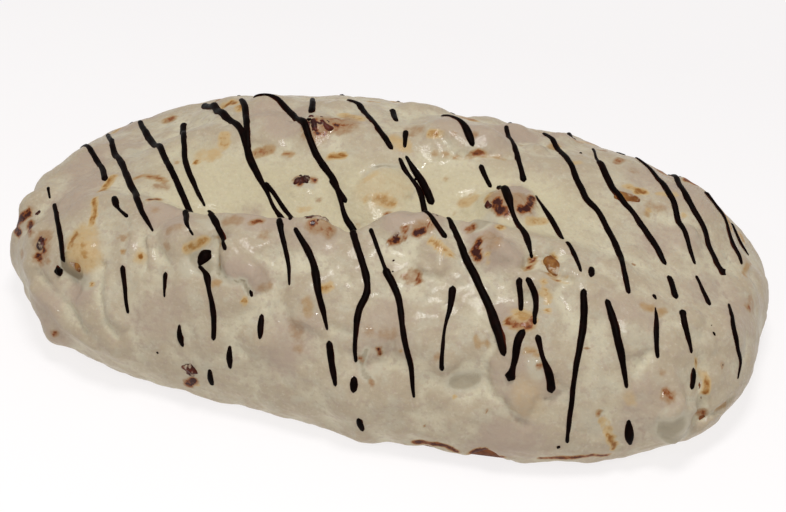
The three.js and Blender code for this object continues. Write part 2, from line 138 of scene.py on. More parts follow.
# Lumps that fruit and folds make under the icing: (x, roll, radius, height).
LUMPS = [
    (33, 80, 9.5, 4.2), (27, 81, 6, 1.4), (29, 63, 8, 2), (16.5, 58, 6, 2.4), (9, 54, 7, 2.2),
    (-10, 51, 8, 2.2), (-30, 47, 9, 1.2), (-22, 101, 9, 2.8), (-13, 108, 8, 1.4), (-1, 75, 13, 2.6),
    (-21, 74, 6, 1), (-46, 124, 12, 2.8), (-38, 112, 10, 1.4), (-84, 118, 11, 1.8), (10, 116, 13, 2.6),
    (22, 113, 9, 1.2), (76, 130, 16, 3.4), (60, 136, 13, 1.6), (63, 110, 9, 0.8), (-70.5, 27, 8, 2.6),
    (-86, 27, 7, 1.8), (-92, 39, 7, 1.8), (-45, 37, 7.5, 2.2), (-29, 37, 6, 1.4), (-25, 25, 9, 1.8),
    (-6, 27, 9, 1.6), (-62, 8, 12, 1.6), (-78, 2, 10, 1.2), (32, 51, 7, 2.2), (38.5, 50, 7, 1.8),
    (54, 49, 7, 1.2), (45, 30, 8, 1.8), (51, 20, 14, 2.6), (24, 22, 11, 1.2), (84.5, 5, 8.5, 3.6),
    (78, 14, 9, 1.8), (80, 26, 9, 1.2), (70, 35, 10, 1.2), (60, 42, 9, 1.4), (12, 38, 6, 0.8),
    (2, 8, 12, 1.4), (8, -12, 9, 2.4),
]
HOLLOWS = [
    (-36, 34, 6.5, -2.4), (-71.5, 17, 6.5, -1.8), (35, 12, 8, -2), (13, 15, 6, -1.2),
    (28.5, 52, 4, -1), (44, 50, 5, -1.5), (49, 54, 5, -1.8), (46, 37, 5, -1.4), (90, 2, 5, -2.6),
    (89, 20, 6, -1.6), (31, 124, 14, -2), (-62, 120, 10, -1),
]
# Broad swells beside those of the plain solids, which bring the outline nearer to the photo's.
SWELLS = [
    (-97, 42, 12, -1.6), (-96, 41, 7, -1.0), (-96, 26, 7, 0.9), (-99, 15, 13, 0.6),
    (-92, -4, 13, -2.6), (-92, 70, 14, 0.6),
    (-90, 95, 16, 1.2), (-62, 123, 17, -2.4), (-46, 125, 10, -0.9),
    (-72, 110, 12, -0.8), (80, 138, 20, 1),
    (91, 150, 12, -1.2), (40, 130, 16, -0.9),
]

# Small lumps all over, in seeded places. A pair is the least, and how much more there can be.
SMALL_LUMPS = 150
SMALL_LUMP_X = 96  # how far they go to either end
SMALL_LUMP_ROLL = (-8, 196)
SMALL_LUMP_RADIUS = (4.5, 5.5)
SMALL_LUMP_HEIGHT = (0.5, 1.3)
SMOOTH_SHARE = 0.25  # how high they are in the valley behind the lip and in smooth places
VALLEY = (-5, 75, 32)  # its middle x, half its length, and its width
SMOOTH_PLACES = [(35, 100, 60, 100), (-100, -86, -90, 20)]  # (from x, to x, from roll, to roll)

# Two uneven swells of the whole coat.
LONG_SWELL = 34.0
LONG_SWELL_HEIGHT = 0.5
SHORT_SWELL = 15.0
SHORT_SWELL_HEIGHT = 0.22
SWELL_WAVES = 7

# The icing's fine relief, whose heights are among the settings.
WAVE_SIZES = (5.5, 2.6)
FINE_WAVES = 0.45  # how high the finer waves are beside the others
CREASE_SIZE = 11.0  # the swells between the creases
CREASE_WIDTH = 0.09  # as a share of those swells' height
CREASE_STRETCH = 0.6  # below 1, the creases are longer along the loaf
CREASE_PATCH = 17.0  # the patches with and without creases
POOLED_LOSS = (0.7, 0.6)  # the shares of its waves and creases that pooled icing loses
FOOT_BEAD_REACH = 1.9  # how far up the bead along the foot goes
THIN_ROUNDS = 40  # rounds of smoothing, which tell a lump from what lies round it
THIN_HEIGHT = 0.9  # the step in height over which the icing goes from thick to thin

# Narrow runs in the icing, below the solids' own relief: (height, radius, stations...).
# A groove has a negative height.
RUNS = [
    (-0.6, 0.9, (-45, 52), (-41, 53), (-34.5, 54.5), (-28, 54), (-19.5, 51), (-15, 52), (-7.5, 53)),
    (-0.7, 1.0, (10, 106), (15.5, 101.5), (18, 103), (23, 105), (27.5, 106.5), (29.5, 109)),
    (-1.1, 1.2, (47.5, 49.5), (51, 47), (54, 47)),
    (-0.9, 1.0, (43.5, 53), (42.5, 48)),
    (-1.2, 1.8, (89.5, 1)), (1.2, 3.0, (85, -3)), (1.0, 2.0, (84, 7), (85.5, 10)),
    (-1.2, 3.2, (-38, 33), (-37, 30)),
    (-0.9, 1.0, (90, -2), (93.5, -0.5), (96, 0)),
    (-1.3, 1.4, (87.5, 26), (88.5, 20), (89.5, 12), (89.5, 4)),
    (-0.9, 1.1, (68, 7), (69.5, 2.5), (71, 0), (72.5, -4.5)),
    (-0.8, 1.0, (56, 17.5), (57, 15.5), (58.5, 13.5), (57, 12), (54.5, 11)),
    (-0.6, 1.0, (19.5, 79.5), (20, 83.5), (22.5, 86.5), (25, 87.5)),
    (-0.7, 1.2, (-7, 76), (-6, 79), (-4, 83), (-1, 87), (2.5, 90), (6, 89), (8.5, 83), (8, 76)),
    (-0.9, 1.1, (19, 73), (20, 75), (22, 72), (26, 62), (27, 58.5)),
    (-1.0, 1.5, (43.5, 9), (46, 7.5), (50, 4)),
    (-0.9, 1.4, (40, 25), (38.5, 20), (38, 14), (41, 10)),
    (-1.0, 1.5, (-83, 14), (-72, 9), (-66, 4)),
    (-1.1, 1.4, (-64, 24), (-63, 17), (-60.5, 10), (-57, 6)),
    (-0.8, 1.1, (-1, 20.5), (2, 20.5), (5, 20.5)),
    (-0.8, 1.0, (-50.5, 32.5), (-48.5, 31.5), (-46, 29.5)),
    (-0.8, 1.4, (5, 15), (9, 12), (13, 14), (15, 19)),
    (-0.7, 1.3, (76, 26), (74, 20), (76, 12)),
    (1.5, 2.4, (-31.5, 36.5), (-28.5, 33), (-25, 33), (-21.5, 29.5)),
    (0.8, 1.0, (-31, 38.5), (-27.6, 36.5), (-23.8, 34.3), (-20.5, 31.4), (-18.5, 28.5)),
    (-0.9, 0.9, (-35.2, 39), (-34, 34.5), (-32, 30.8), (-29.5, 28.4), (-27, 28), (-24, 28.6),
     (-22, 25.5)),
    (0.9, 1.1, (-52.5, 35.5), (-51, 31), (-50.5, 28)),
    (1.0, 1.5, (-9.5, 22), (-6, 21.5), (-2.5, 19.5)),
    (0.9, 1.6, (-63, 22), (-61.5, 17), (-59, 12), (-55, 9.5)),
    (1.2, 1.8, (-84, 9), (-77, 7), (-72.5, 2.5), (-67.5, 2), (-63.5, 0.5)),
    (1.2, 1.4, (82, 7), (85, 8.5), (85, 11.5)),
    (1.1, 1.3, (87.5, 8), (89.5, 2.5)),
    (0.8, 1.4, (88, 37), (89.5, 30)),
    (0.8, 1.5, (31, 86), (34, 93), (37, 91)),
    (0.8, 1.3, (35, 56), (38, 52), (41, 50)),
    (0.8, 1.1, (46, 56), (50, 53.5), (52, 50.5)),
    (0.9, 1.2, (-59, 41), (-57.5, 36), (-57, 31)),
    (0.7, 1.2, (16, 43), (20, 41.5), (23, 43)),
]

# Small beads of icing that catch the light: (x, roll).
BEADS = [
    (-1.2, 70.3), (1.3, 71), (3.6, 72.8), (5.4, 75.7), (7.3, 76.7), (-63.1, 26.2), (-29.7, 27.5),
    (-23, 30.5), (6.7, 35.4), (21.8, 44.1), (22.8, 41.4), (18.7, 41.8), (36.2, 51.6), (38.1, 49.8),
    (48.4, 52.9), (51, 45.2), (59, 43), (60.5, 42.5), (72, 26), (73.5, 28), (74, 45.5), (-52, 34.3),
    (-40, 15), (14, 66), (-50, 20), (30, 33), (-12, 25), (88, 34), (66, 55), (12, 100), (-80, 50),
]
BEAD_SIZE = (0.42, 0.85)  # height and radius

# What shows through the icing where it is thin: kind -> (radius, strength, stations...).
# The kind "shade" is painted shade in dents, creases and along the rims of hollows, with a few grey
# marks of fruit deep under the icing.
STAINS = {
    "raisin": [
        (1.2, 1.0, (-96.5, 28), (-95, 32), (-93, 36)), (1.5, 1.0, (-91.5, 29.3), (-91, 28)),
        (0.9, 0.7, (-89.5, 28), (-88.5, 27)), (1.1, 1.0, (-96.5, 22.5), (-95, 22)),
        (3.0, 0.5, (-84, 26.5), (-83.5, 22)), (1.0, 1.0, (-84, 25.5)), (0.9, 0.9, (-83, 23)),
        (1.0, 1.0, (-85, 20.5), (-83.5, 19.8)), (1.4, 0.4, (-91, 16.5)), (0.9, 0.5, (-80.5, 20)),
        (1.2, 0.4, (-58.5, 60), (-56, 61)), (1.3, 0.3, (-54, 45.5)),
        (0.7, 0.35, (-61.5, 34), (-59.5, 35), (-60, 33.5)), (1.0, 0.8, (-76, -2)),
        (1.6, 0.35, (-47, 39.5), (-45, 41)), (1.1, 0.35, (-47, 35), (-46.5, 34)),
        (3.6, 0.5, (-21.5, 96.5), (-20, 99.5), (-17.5, 102), (-15, 103.5)), (1.0, 1.0, (-21, 95.5)),
        (0.8, 1.0, (-19, 96)), (0.9, 0.9, (-17, 101.5)), (0.7, 0.9, (-18, 106)),
        (0.8, 0.8, (-15, 102.5)), (0.9, 0.8, (-22.5, 100)), (0.9, 1.0, (-22.5, 74.5), (-21, 72.5)),
        (0.8, 1.0, (-18.5, 75.5), (-18, 75.5)), (1.6, 0.4, (-33.5, 45.5), (-32, 46.5), (-30.5, 46)),
        (0.8, 0.75, (-27, 46.5), (-26, 47.5), (-25, 48)), (1.7, 0.35, (-23, 43)),
        (1.7, 0.55, (-11, 48.5), (-9, 48.5), (-7, 48)), (1.0, 0.9, (-11, 49.5)), (0.7, 0.6, (-7, 48.5)),
        (0.8, 0.4, (-15, 66)), (1.0, 1.0, (14.8, 53), (15.8, 54)), (0.8, 0.9, (17, 56.6)),
        (0.6, 0.8, (10.9, 52.9), (12, 53.5)), (0.9, 1.0, (9, 48.7), (10.4, 49.3)),
        (0.7, 0.8, (11.8, 50.6)), (1.9, 0.45, (15, 54), (17.3, 56.8)),
        (1.5, 1.0, (30.5, 76.5), (31, 74.5), (32.5, 73)), (1.1, 1.0, (37.5, 88), (38, 82)),
        (1.2, 0.95, (36.5, 76), (38, 78.5)), (3.1, 0.45, (30, 79), (34, 79), (37, 82)),
        (0.9, 0.85, (26.5, 58.5), (27.2, 60)), (1.1, 1.0, (30, 54), (29.8, 51), (31, 48.5)),
        (2.4, 0.35, (34, 54), (33, 57)),
        (0.8, 0.5, (14, 38), (15.5, 40), (17.5, 40), (18, 38), (15.5, 37), (14, 38)),
        (0.8, 0.75, (17.7, 39.5), (17.7, 37.5)), (0.8, 0.5, (13.5, 107)), (0.9, 0.7, (18.5, 109.5)),
        (1.8, 0.35, (1.5, 106.5), (4, 108)), (1.6, 0.3, (66, 110), (68.5, 111)), (1.6, 0.3, (59, 128)),
        (0.5, 0.9, (67, 64)), (1.0, 0.75, (95.5, 72.5)), (1.8, 0.35, (95.5, 89), (96, 79)),
        (0.7, 0.9, (11.8, 17.3), (12.5, 16), (13.2, 14.7)), (0.7, 0.7, (7.9, 14.6), (8.5, 13.2)),
        (0.7, 0.5, (11, 9.5), (12, 9)), (1.3, 0.7, (81.8, 13.9), (82.9, 13.2)), (0.8, 0.45, (80, 20.5)),
        (1.3, 1.0, (90, 0)), (1.3, 0.9, (-37.5, -4.5), (-36, -3)),
        (1.1, 0.4, (-20.5, 28), (-18.5, 28.5)), (1.2, 0.35, (-8, 14)),
        (2.0, 0.28, (-9.5, 20), (-8.5, 17.5)), (1.2, 0.3, (9, 22)),
        (0.7, 0.6, (51.5, 20.5), (52.5, 21)), (1.4, 0.3, (13, 22), (15.5, 22.5)),
        (1.0, 0.4, (27, 18.5)), (0.5, 0.7, (61.5, 26)), (0.5, 0.6, (25.5, -0.5)),
        (0.5, 0.6, (40.5, 6.5)), (0.6, 0.6, (92.8, 21)),
    ],
    "peel": [
        (4.2, 0.5, (-72, 31), (-69.5, 26.5)), (1.2, 0.75, (-74, 32), (-74.5, 28)),
        (1.3, 0.65, (-70.5, 29), (-69, 26)), (1.1, 0.8, (-73, 53), (-73, 58), (-72.5, 65.5)),
        (0.8, 0.8, (-73, 47.5), (-71, 41), (-71, 37)), (2.0, 0.35, (-54, 29.5)),
        (0.8, 1.0, (-54, 29.7)), (0.7, 0.8, (-66, 18)), (1.3, 0.7, (-41, 35), (-39, 37), (-38, 38)),
        (0.8, 0.9, (-50.5, 77.5)), (2.0, 0.35, (-50, 81)),
        (1.3, 0.85, (-51.5, 118.5), (-50, 119), (-48, 117)), (1.1, 0.75, (-46, 113), (-45, 110)),
        (1.4, 0.6, (-46, 94), (-45, 90), (-45, 88)), (1.6, 0.45, (-46.5, 83.5), (-47.5, 81.5)),
        (1.7, 0.6, (-17, 112), (-14.5, 110.5), (-12.5, 109.5)),
        (1.0, 0.85, (-15.5, 88), (-14, 88.7), (-12.5, 88.7)), (1.0, 0.35, (-19, 59.5), (-17, 61)),
        (1.5, 0.7, (0, 69.5), (1.5, 70), (3.5, 69.7)), (5.5, 0.2, (-1, 73), (4, 78)),
        (0.8, 0.4, (-4, 77), (-2, 81)), (0.8, 0.5, (-2.7, 68)), (1.0, 0.7, (-4.7, 30.4), (-3, 31.8)),
        (1.0, 0.5, (-32, 35.5)), (1.1, 0.75, (7.5, 106), (10, 106)),
        (1.9, 0.45, (-1, 101), (0.5, 99), (2, 99)), (1.0, 0.65, (27.2, 79), (27.5, 82)),
        (1.9, 0.5, (21, 81), (23, 83)), (0.8, 0.85, (33.4, 62.7), (34, 63.4)),
        (1.2, 0.6, (39.2, 72.5), (40.7, 74.5), (42.3, 76.7)), (1.1, 0.8, (17.3, 56.5)),
        (1.1, 0.7, (19, 51), (21.3, 49.7), (23.6, 48)), (0.7, 0.8, (33, 50)), (0.7, 0.6, (33.5, 48)),
        (1.3, 0.75, (47.3, 53), (48, 55)), (0.9, 0.8, (51, 47), (53, 47)), (1.0, 0.6, (48, 44.5)),
        (1.2, 0.5, (48.5, 41), (49.7, 40)), (2.2, 0.62, (44.6, 33.4), (46.6, 32)),
        (1.3, 0.7, (59, 117)), (1.3, 0.9, (61.7, 116), (63, 117.8)), (1.0, 0.45, (67, 120), (71, 122)),
        (0.9, 0.45, (44, 117.7), (45.6, 119.5)), (0.9, 0.5, (66, 107)), (0.8, 0.5, (74.6, 114)),
        (4.0, 0.22, (50, 13), (51.5, 9.5)), (0.8, 0.7, (50.5, 35.5)), (0.8, 0.6, (49, 41.5), (50, 38)),
        (1.1, 0.95, (68.4, 5), (69.6, 2.2), (70.8, -0.8), (71.8, -4.2)),
        (1.2, 1.0, (87.3, 22.7), (88.8, 18.7), (90, 14.5), (90.3, 10.6)), (0.8, 0.9, (-23.5, 23.8)),
        (0.8, 0.7, (-35, -4)), (1.4, 0.3, (73, 13), (74, 11)), (0.5, 0.6, (32, 8)),
    ],
    "crust": [
        (0.8, 0.6, (-65.5, 63.5), (-63.5, 66), (-60, 65.5), (-57, 63.5)),
        (0.9, 0.85, (-57, 50), (-56, 52)), (0.7, 0.6, (-59, 30)), (0.7, 0.4, (-56, 77)),
        (1.3, 0.6, (-35.5, 86), (-34, 87), (-32, 88)), (0.8, 0.6, (-28, 87), (-26, 87)),
        (0.7, 0.8, (-35, 39.5), (-34.4, 37), (-33.6, 34.5), (-32.6, 32.6)),
        (0.8, 0.8, (15.5, 101.5), (18, 103), (20.5, 105), (23, 105)),
        (0.7, 0.65, (23, 105), (27.5, 106.5)), (0.9, 0.45, (10, 100.5)), (0.9, 0.45, (12.7, 101)),
        (0.9, 0.35, (14.5, 91)), (0.6, 0.55, (19.5, 80), (20, 83.5), (22.5, 86.5)),
        (0.6, 0.6, (19, 73), (20, 75), (22, 72)), (0.9, 0.9, (43.7, 52.7), (43.3, 49.5), (42.5, 48)),
        (0.8, 1.0, (48, 49), (49.5, 48), (51, 47)),
        (1.2, 0.75, (42.4, 30.8), (44.2, 30.1), (46, 30), (47.6, 31)),
        (0.7, 0.7, (47.6, 33), (48.3, 31.8)), (0.7, 0.5, (48, 24), (49.5, 24), (50.7, 23)),
        (0.6, 0.75, (56, 17.3), (57, 15.7), (58.5, 13.5)),
        (0.6, 0.6, (58.5, 13.5), (57, 12), (54.5, 11)), (0.7, 0.6, (43.5, 9), (46, 7.5)),
        (0.9, 0.4, (35, 24.5), (36, 23)), (0.9, 0.4, (38, 24), (39.5, 23)), (0.9, 0.8, (67.3, 7.6)),
        (0.6, 0.6, (-11.5, 50.5), (-9, 51), (-7, 50)), (1.4, 0.35, (-7.5, 27), (-6.7, 24)),
        (0.5, 0.7, (-3, 56)), (0.5, 0.7, (3, 63), (4.2, 65)), (1.2, 0.45, (72.5, 43), (74, 43)),
        (0.8, 0.9, (22.7, -7.5), (25.5, -6.4), (28.7, -5.8), (31.4, -6.6), (33.5, -8)),
        (0.8, 1.0, (36.5, -8), (39, -5.6), (41, -4.8), (43, -5.6), (44.6, -7.6)),
        (0.7, 0.8, (54, -8), (60.6, -6.8), (66.4, -6.2), (70, -7.5)), (1.0, 0.4, (77, 43), (76, 41)),
        (0.7, 0.7, (93.5, -0.5), (96, 0.2)), (0.8, 0.35, (29.5, 122.5)), (0.5, 0.6, (17.7, 18.5)),
        (0.5, 0.5, (-35.5, 28)), (1.0, 0.45, (-32, 27), (-31, 27.3)), (0.9, 0.5, (66, 104)),
        (0.8, 0.5, (91.9, 147), (92, 128), (92, 118)),
    ],
    "shade": [
        # Painted shade: grey to olive darkening in dents, along creases and on the rims of hollows; a
        # few rows mark grey fruit deep under the icing.
        (2.6, 0.9, (-74.5, 23), (-71.5, 20)), (1.8, 0.5, (-69.5, 18), (-67.5, 17.5)),
        (1.5, 0.5, (-21.8, 72), (-18.5, 72)), (2.4, 0.25, (-20, 73)),
        (1.0, 0.7, (-35.4, 38), (-33.6, 33.6), (-31.7, 30), (-29.2, 28.4), (-27.2, 28.2), (-24.4, 29),
         (-22.5, 26)),
        (0.7, 0.65, (-5.6, 79), (-4.2, 83), (-1, 87), (2.5, 90), (6, 89), (8.4, 83), (8, 77)),
        (1.0, 0.45, (-74, 99), (-69.5, 93.5)), (0.9, 0.4, (-72, 91), (-68.5, 85)),
        (2.0, 0.6, (31.5, 11.2), (33.6, 11.5), (36.4, 12.8)), (1.8, 0.6, (28.5, 61), (30, 64)),
        (2.4, 0.45, (30, 66), (30, 71)), (1.0, 0.8, (27, 59.5)), (3.6, 0.6, (84, 2.4), (86, 4)),
        (3.2, 0.57, (87, -3), (85.6, -1)), (1.4, 0.66, (88, 1.5)),
        (0.9, 0.58, (83.1, 8.6), (85.3, 9.8), (86.8, 10.8), (88.4, 8.7)),
        (1.0, 0.6, (9, 17), (8.2, 13.4), (9.6, 10.7), (11.9, 9.3)), (2.8, 0.6, (-38, 33), (-36, 31)),
        (1.4, 0.4, (-41.5, 30), (-40, 28)), (2.0, 0.3, (47, 38), (51, 37)),
        (1.2, 0.4, (12, 12), (13, 14)), (1.6, 0.4, (50.5, 21), (51.5, 18)),
        (2.4, 0.3, (64, 7), (67, 3)), (1.6, 0.35, (-40, 44), (-37, 43)),
    ],
    "mauve": [
        (7, 0.4, (-84, 80), (-80, 60), (-80, 45)), (5, 0.3, (-80, 105), (-75, 110)),
        (4, 0.5, (-69, 15)), (5, 0.4, (-37, 108), (-30, 110)), (4, 0.4, (-33, 100), (-28, 98)),
        (5, 0.45, (-47, 42), (-52, 45)), (4, 0.4, (-33, 50), (-26, 47), (-20, 49)),
        (4, 0.5, (-27, 32), (-22, 31)), (5, 0.3, (-12, 44), (-9, 46)), (4, 0.5, (10, 55), (16, 59)),
        (5, 0.45, (29, 60), (33, 57), (36, 52)), (5, 0.5, (33, 86), (35, 80)),
        (6, 0.35, (12, 113), (22, 112)), (6, 0.35, (76, 125), (64, 128)),
        (5, 0.35, (70, 88), (76, 100)), (4, 0.45, (43, 32), (40, 33)), (6, 0.4, (50, 0), (44, -3)),
        (6, 0.3, (52, 14), (46, 16)), (5, 0.3, (66, 40), (73, 40)), (6, 0.3, (80, 12), (76, 3)),
        (4, 0.5, (86, -1), (84, 3)), (5, 0.3, (84, 60), (88, 80)), (6, 0.3, (14, 24), (10, 18)),
        (5, 0.3, (-42, 20), (-48, 12)), (5, 0.35, (-9, 18), (-12, 12)), (5, 0.35, (-75, 0), (-80, 6)),
        (5, 0.3, (93, 50), (94, 60)),
    ],
}
WIDE_STAIN = 4  # a stain with this radius or more has a wavy edge, not a ragged one
RAGGED_EDGE = [(0.4, 2.2, 21.0), (0.3, 1.1, 27.0)]  # noise: (share of the radius, size, seed)
WAVY_EDGE = [(0.6, 6.5, 33.0)]
STAIN_FULL = 1.4  # a stain starts from this in its middle, where 1 is full strength already,
STAIN_FALL = 0.85  # and falls by so much for each radius

# Stains in seeded places on the far side: kind -> (how many, size, least strength).
BACK_STAINS = {
    "raisin": (26, 1, 0.5), "peel": (22, 1, 0.5), "crust": (16, 1, 0.5), "mauve": (18, 4, 0.35),
}
BACK_STAIN_X = 88  # how far they go to either end
BACK_STAIN_ROLL = (128, 50)  # the least, and how much more there can be
BACK_STAIN_RADIUS = (0.7, 0.9)
BACK_STAIN_GAIN = 0.4  # how much stronger than the least a stain can be
BACK_STAIN_RUN = 3  # how long one can be, in mm and in degrees

RAISIN_LEVELS = 5  # how often a raisin's triangles are split in four
PEEL_LEVELS = 4
WRINKLE_SIZES = (2.3, 1.1)  # a raisin's wide and narrow folds
NARROW_WRINKLES = 0.4  # how high the narrow ones are beside the wide
MEAN_WRINKLE = 0.3  # the height of fold that leaves a raisin's size as it is
PEEL_CORNER = 0.85  # 1 would be round, 0 a sharp cube
PEEL_FILL = 0.95  # the share of its plain solid that a piece of peel fills
PEEL_DENTS = 0.12  # the share of its size by which peel is dented
PEEL_SINK = 3.3  # how much further than raisins it is pressed in
FILM_EDGE = 0.14  # how softly the film of icing on fruit ends
FILM_COVER = 0.85  # how much it hides

# The chocolate: (width, stations...). A station's third number is its own width.
STROKES = [
    (1.9, (-86, 43, 1.6), (-80, 32), (-75, 22, 2.3)), (1.6, (-90, 54, 1.2), (-88, 46, 0.9)),
    (1.9, (-91, 125, 1.2), (-84.5, 99), (-79.5, 81.5), (-74, 61.5, 2.4)),
    (2.1, (-86, 140, 1.5), (-78, 99.5), (-68, 64.5, 2.3), (-59, 47), (-52.5, 38, 0.9)),
    (1.6, (-68, 50, 1.8), (-66, 46, 2.3), (-65, 44.5, 1.1), (-61, 41.5, 1.3)),
    (2.1, (-77.5, 136, 1.7), (-70.5, 114, 2.4), (-60.5, 81.5), (-53, 62.5), (-46, 47, 2.1),
     (-40.5, 39, 0.8)),
    (2.0, (-63, 124, 2.4), (-57, 92.5), (-53, 75), (-47.5, 61, 1.6), (-44, 53.5, 0.9)),
    (1.9, (-43, 52, 1.4), (-36.5, 44.5, 2.3), (-30.5, 36.5, 1.6)),
    (4, (-36, 35.4, 2.8), (-36.8, 34, 4.4), (-37.5, 32, 3.6), (-37.8, 30.4, 1.6)),
    (1.7, (-37.8, 30.4, 1.4), (-36, 29.3, 1.3), (-34.4, 28, 2.4), (-33, 25), (-31.3, 21, 2),
     (-30, 12, 1.6)),
    (2.3, (-61, 139, 2.8), (-51, 113, 2.7), (-44, 100.5), (-39, 89.5), (-37, 83.5, 2.6),
     (-32.6, 73.5, 2.0), (-29, 66, 1.3), (-26.4, 59.2, 1.3), (-19.5, 47, 2.1), (-13, 30, 0.9)),
    (1.5, (-31, 71.5, 1.8), (-27.5, 66.3), (-24.2, 60.2), (-17.2, 49.4, 1.4)),
    (2.3, (-47.5, 121, 2.1), (-43, 107.5), (-38, 87, 2.5)),
    (2.3, (-44, 120, 1.8), (-38.5, 118.5), (-32, 112, 2.7), (-23.5, 95.5), (-18, 85), (-12.5, 76, 2.1),
     (-8.5, 64, 1.5), (-6, 57, 2.1), (-4, 54), (5.7, 34, 2.3), (5.3, 26), (6.7, 13, 1.2)),
    (1.8, (-14, 77.5, 2), (-7.5, 65.5, 1.7)),
    (2.2, (-15.5, 47, 1.5), (-10, 39.5), (-5.8, 31, 2.4), (-1.5, 20, 1)),
    (2.3, (-0.8, 17.5, 2.5), (0.5, 13), (2.8, 7, 1.4)),
    (2.0, (2.5, 52, 1.6), (8.7, 40, 1.2), (9.6, 38.5, 2.4), (15, 30), (20.2, 16, 1.8), (22.3, 7, 1)),
    (2.0, (-29.5, 128.5, 1.7), (-25.5, 110, 2.4)),
    (2.2, (-20, 128.5, 1.5), (-14.5, 121), (-7.5, 107), (-2, 97.5, 2.3), (-0.5, 96, 1.4)),
    (1.9, (1.5, 93.5, 1.4), (5.5, 88), (9, 82), (14, 64), (17, 59.5, 1.6), (22, 53, 1.9)),
    (1.9, (3, 95.5, 1.2), (8.5, 88, 2.4), (13.5, 76, 2.4)), (1.7, (6.5, 88, 1.2), (8.6, 89.5, 1.5)),
    (2.0, (-7, 126, 2.2), (-3.5, 115, 1.9)), (1.9, (0.5, 108, 2.1), (2.2, 98, 1.2)),
    (2.0, (7, 122, 1.5), (9.5, 119, 1.9), (13, 114.5, 2.3), (17, 109, 2.8), (19, 106, 1.8)),
    (1.6, (22, 101, 1.8), (26.6, 91, 1.4)),
    (2.3, (28, 92.5, 2.2), (30, 88.5), (32.4, 81, 3.0), (35, 73, 1.5), (38.5, 66), (41, 60, 2.3),
     (43.2, 53, 1.3)),
    (2.0, (23, 132.5, 1.6), (28, 117.5, 2.2), (32.5, 103.5, 1.8), (34, 98.5, 2.6)),
    (1.7, (38, 92, 0.9), (44, 79, 2.1), (48.5, 67, 1.7)), (1.6, (50, 65, 1.7), (53.7, 57), (56, 51, 1)),
    (2.1, (57.8, 55, 2.2), (58.5, 50, 2.5)),
    (2.2, (32, 140, 1.3), (39, 127.5, 2.1), (45, 112.5), (50, 100.5, 2.5), (55, 92.5), (62, 71),
     (68, 47, 1.6)),
    (2.0, (46, 138.5, 1), (49, 128, 1.2), (51, 123, 2.7), (57.5, 108.5, 2.1), (62, 101.5, 1.9),
     (68.5, 89, 2.4), (74, 73, 1.9)),
    (2.2, (75.3, 66, 1.9), (79, 51, 2.4)),
    (2.0, (57, 143, 1.2), (64, 133), (69.5, 121.5, 2.2), (74.5, 107.5), (80.5, 85, 1.2)),
    (1.9, (81.5, 76, 1.1), (86.6, 54, 2.1)),
    (2.2, (66, 150, 1.6), (73.5, 124, 2.3), (80.5, 115), (86, 99, 2.4), (87.2, 97, 3.6),
     (88, 96.5, 2.4)),
    (1.9, (77.3, 136.2, 2.1), (81.7, 133.7), (85, 133), (88.5, 128.3, 1.9), (90.8, 124, 1)),
    (1.8, (84.6, 147, 2.0), (86.5, 150), (88.5, 151.5), (91, 153.5, 1)),
    (1.6, (90.6, 64, 1), (93.3, 44, 2), (95.1, 33.5, 1.8), (96.3, 21, 1.5), (96.6, 10, 0.8)),
    (1.9, (81, 46, 2.4), (85.5, 27, 1.4)),
    (1.6, (73.5, 50, 1.7), (74.5, 47.5, 1)), (2.0, (75, 44, 0.5), (76.5, 35, 2.1), (78.4, 25, 1.1)),
    (2.3, (63.5, 43, 1.9), (68.6, 29.5, 2.6), (72.5, 15, 1.1)),
    (2.2, (57.8, 45, 2.2), (59.6, 31), (60.6, -1, 1.3)),
    (2.1, (42, 44.5, 2.1), (44.2, 34, 1.5)), (2.0, (43.8, 45, 1.9), (46.5, 40), (48.7, 31, 1.4)),
    (2.5, (20, 63, 2), (28.4, 47), (35, 36, 2.6), (41, 26, 3.2), (43, 21.5, 2)),
    (2.0, (26.4, 38, 2.9), (27, 33, 2), (27.2, 26, 1), (28.5, 15, 1.7)),
    (2.6, (46.6, 29.5, 2.4), (45.6, 26, 2.6), (45.7, 21, 2.1), (45.4, 18, 2.4), (45, 16, 3.8),
     (44.8, 15, 3.4)),
    (2.3, (49.7, 28.5, 2.5), (51.5, 24, 1.4), (54, 19, 2.4), (55.6, 13, 2.8)),
    (1.8, (-58.2, 26, 2.1), (-54.3, 13, 1.1)), (1.8, (-46, 27, 1.9), (-45, 20, 0.9)),
    (2.2, (6.9, 10.1, 1.8), (7.3, 8.3, 2.6), (7.4, 6.4, 1.9)),
    (2.0, (9.2, -0.2, 1.5), (9.4, -2.6, 2.3), (10, -5, 1.4)),
    (2.1, (-31, 3, 1.4), (-31, 0, 2.3), (-30.7, -3, 1.4)),
    (2.0, (-40, 13.5, 1), (-39.5, 10, 2.2), (-38.5, 7.5, 1.2)),
    (2.0, (-26, 11, 1), (-25.8, 7.5, 2.2), (-25.5, 4.5, 1.3)),
    (2.0, (-19, 21, 1.4), (-18.2, 18, 2.2), (-17.6, 15.5, 1.3)),
    (2.0, (86.5, 21, 1.6), (87, 17, 2.1), (87, 13, 1.6)),
    (2.4, (74, 5, 1.3), (74.6, 0, 3.0), (75, -4, 1.2)),
    (1.1, (-22.6, 27, 1.3), (-22, 25, 1)),
    (3.4, (-78, 17.8, 2.8), (-76.7, 18.2, 3.6), (-75.5, 19, 2.8)),
    (2.3, (-24, 101, 2.2), (-24.2, 99.5, 2.4)), (1.1, (10.3, 42.7), (10.7, 42.2)),
    (0.9, (11, 39.2), (11.3, 38.8)),
    (0.8, (88.4, 41.5), (88.6, 41)), (0.9, (89.2, 38), (90, 36)), (0.8, (92.8, 21.6), (92.9, 20.8)),
    (1.7, (58.2, -1.8), (59, -2.5)), (1.1, (44, 130.5), (44.4, 129.5)), (0.9, (-45.8, 4), (-45.6, 3.2)),
]
CREST_CROSSINGS = [-80, -69, -53, -38, -24, -9, 7, 24, 41, 56, 70]
CREST_ROLL = 142  # where those strokes leave the crest for the far side
FOOT_ROLL = 178
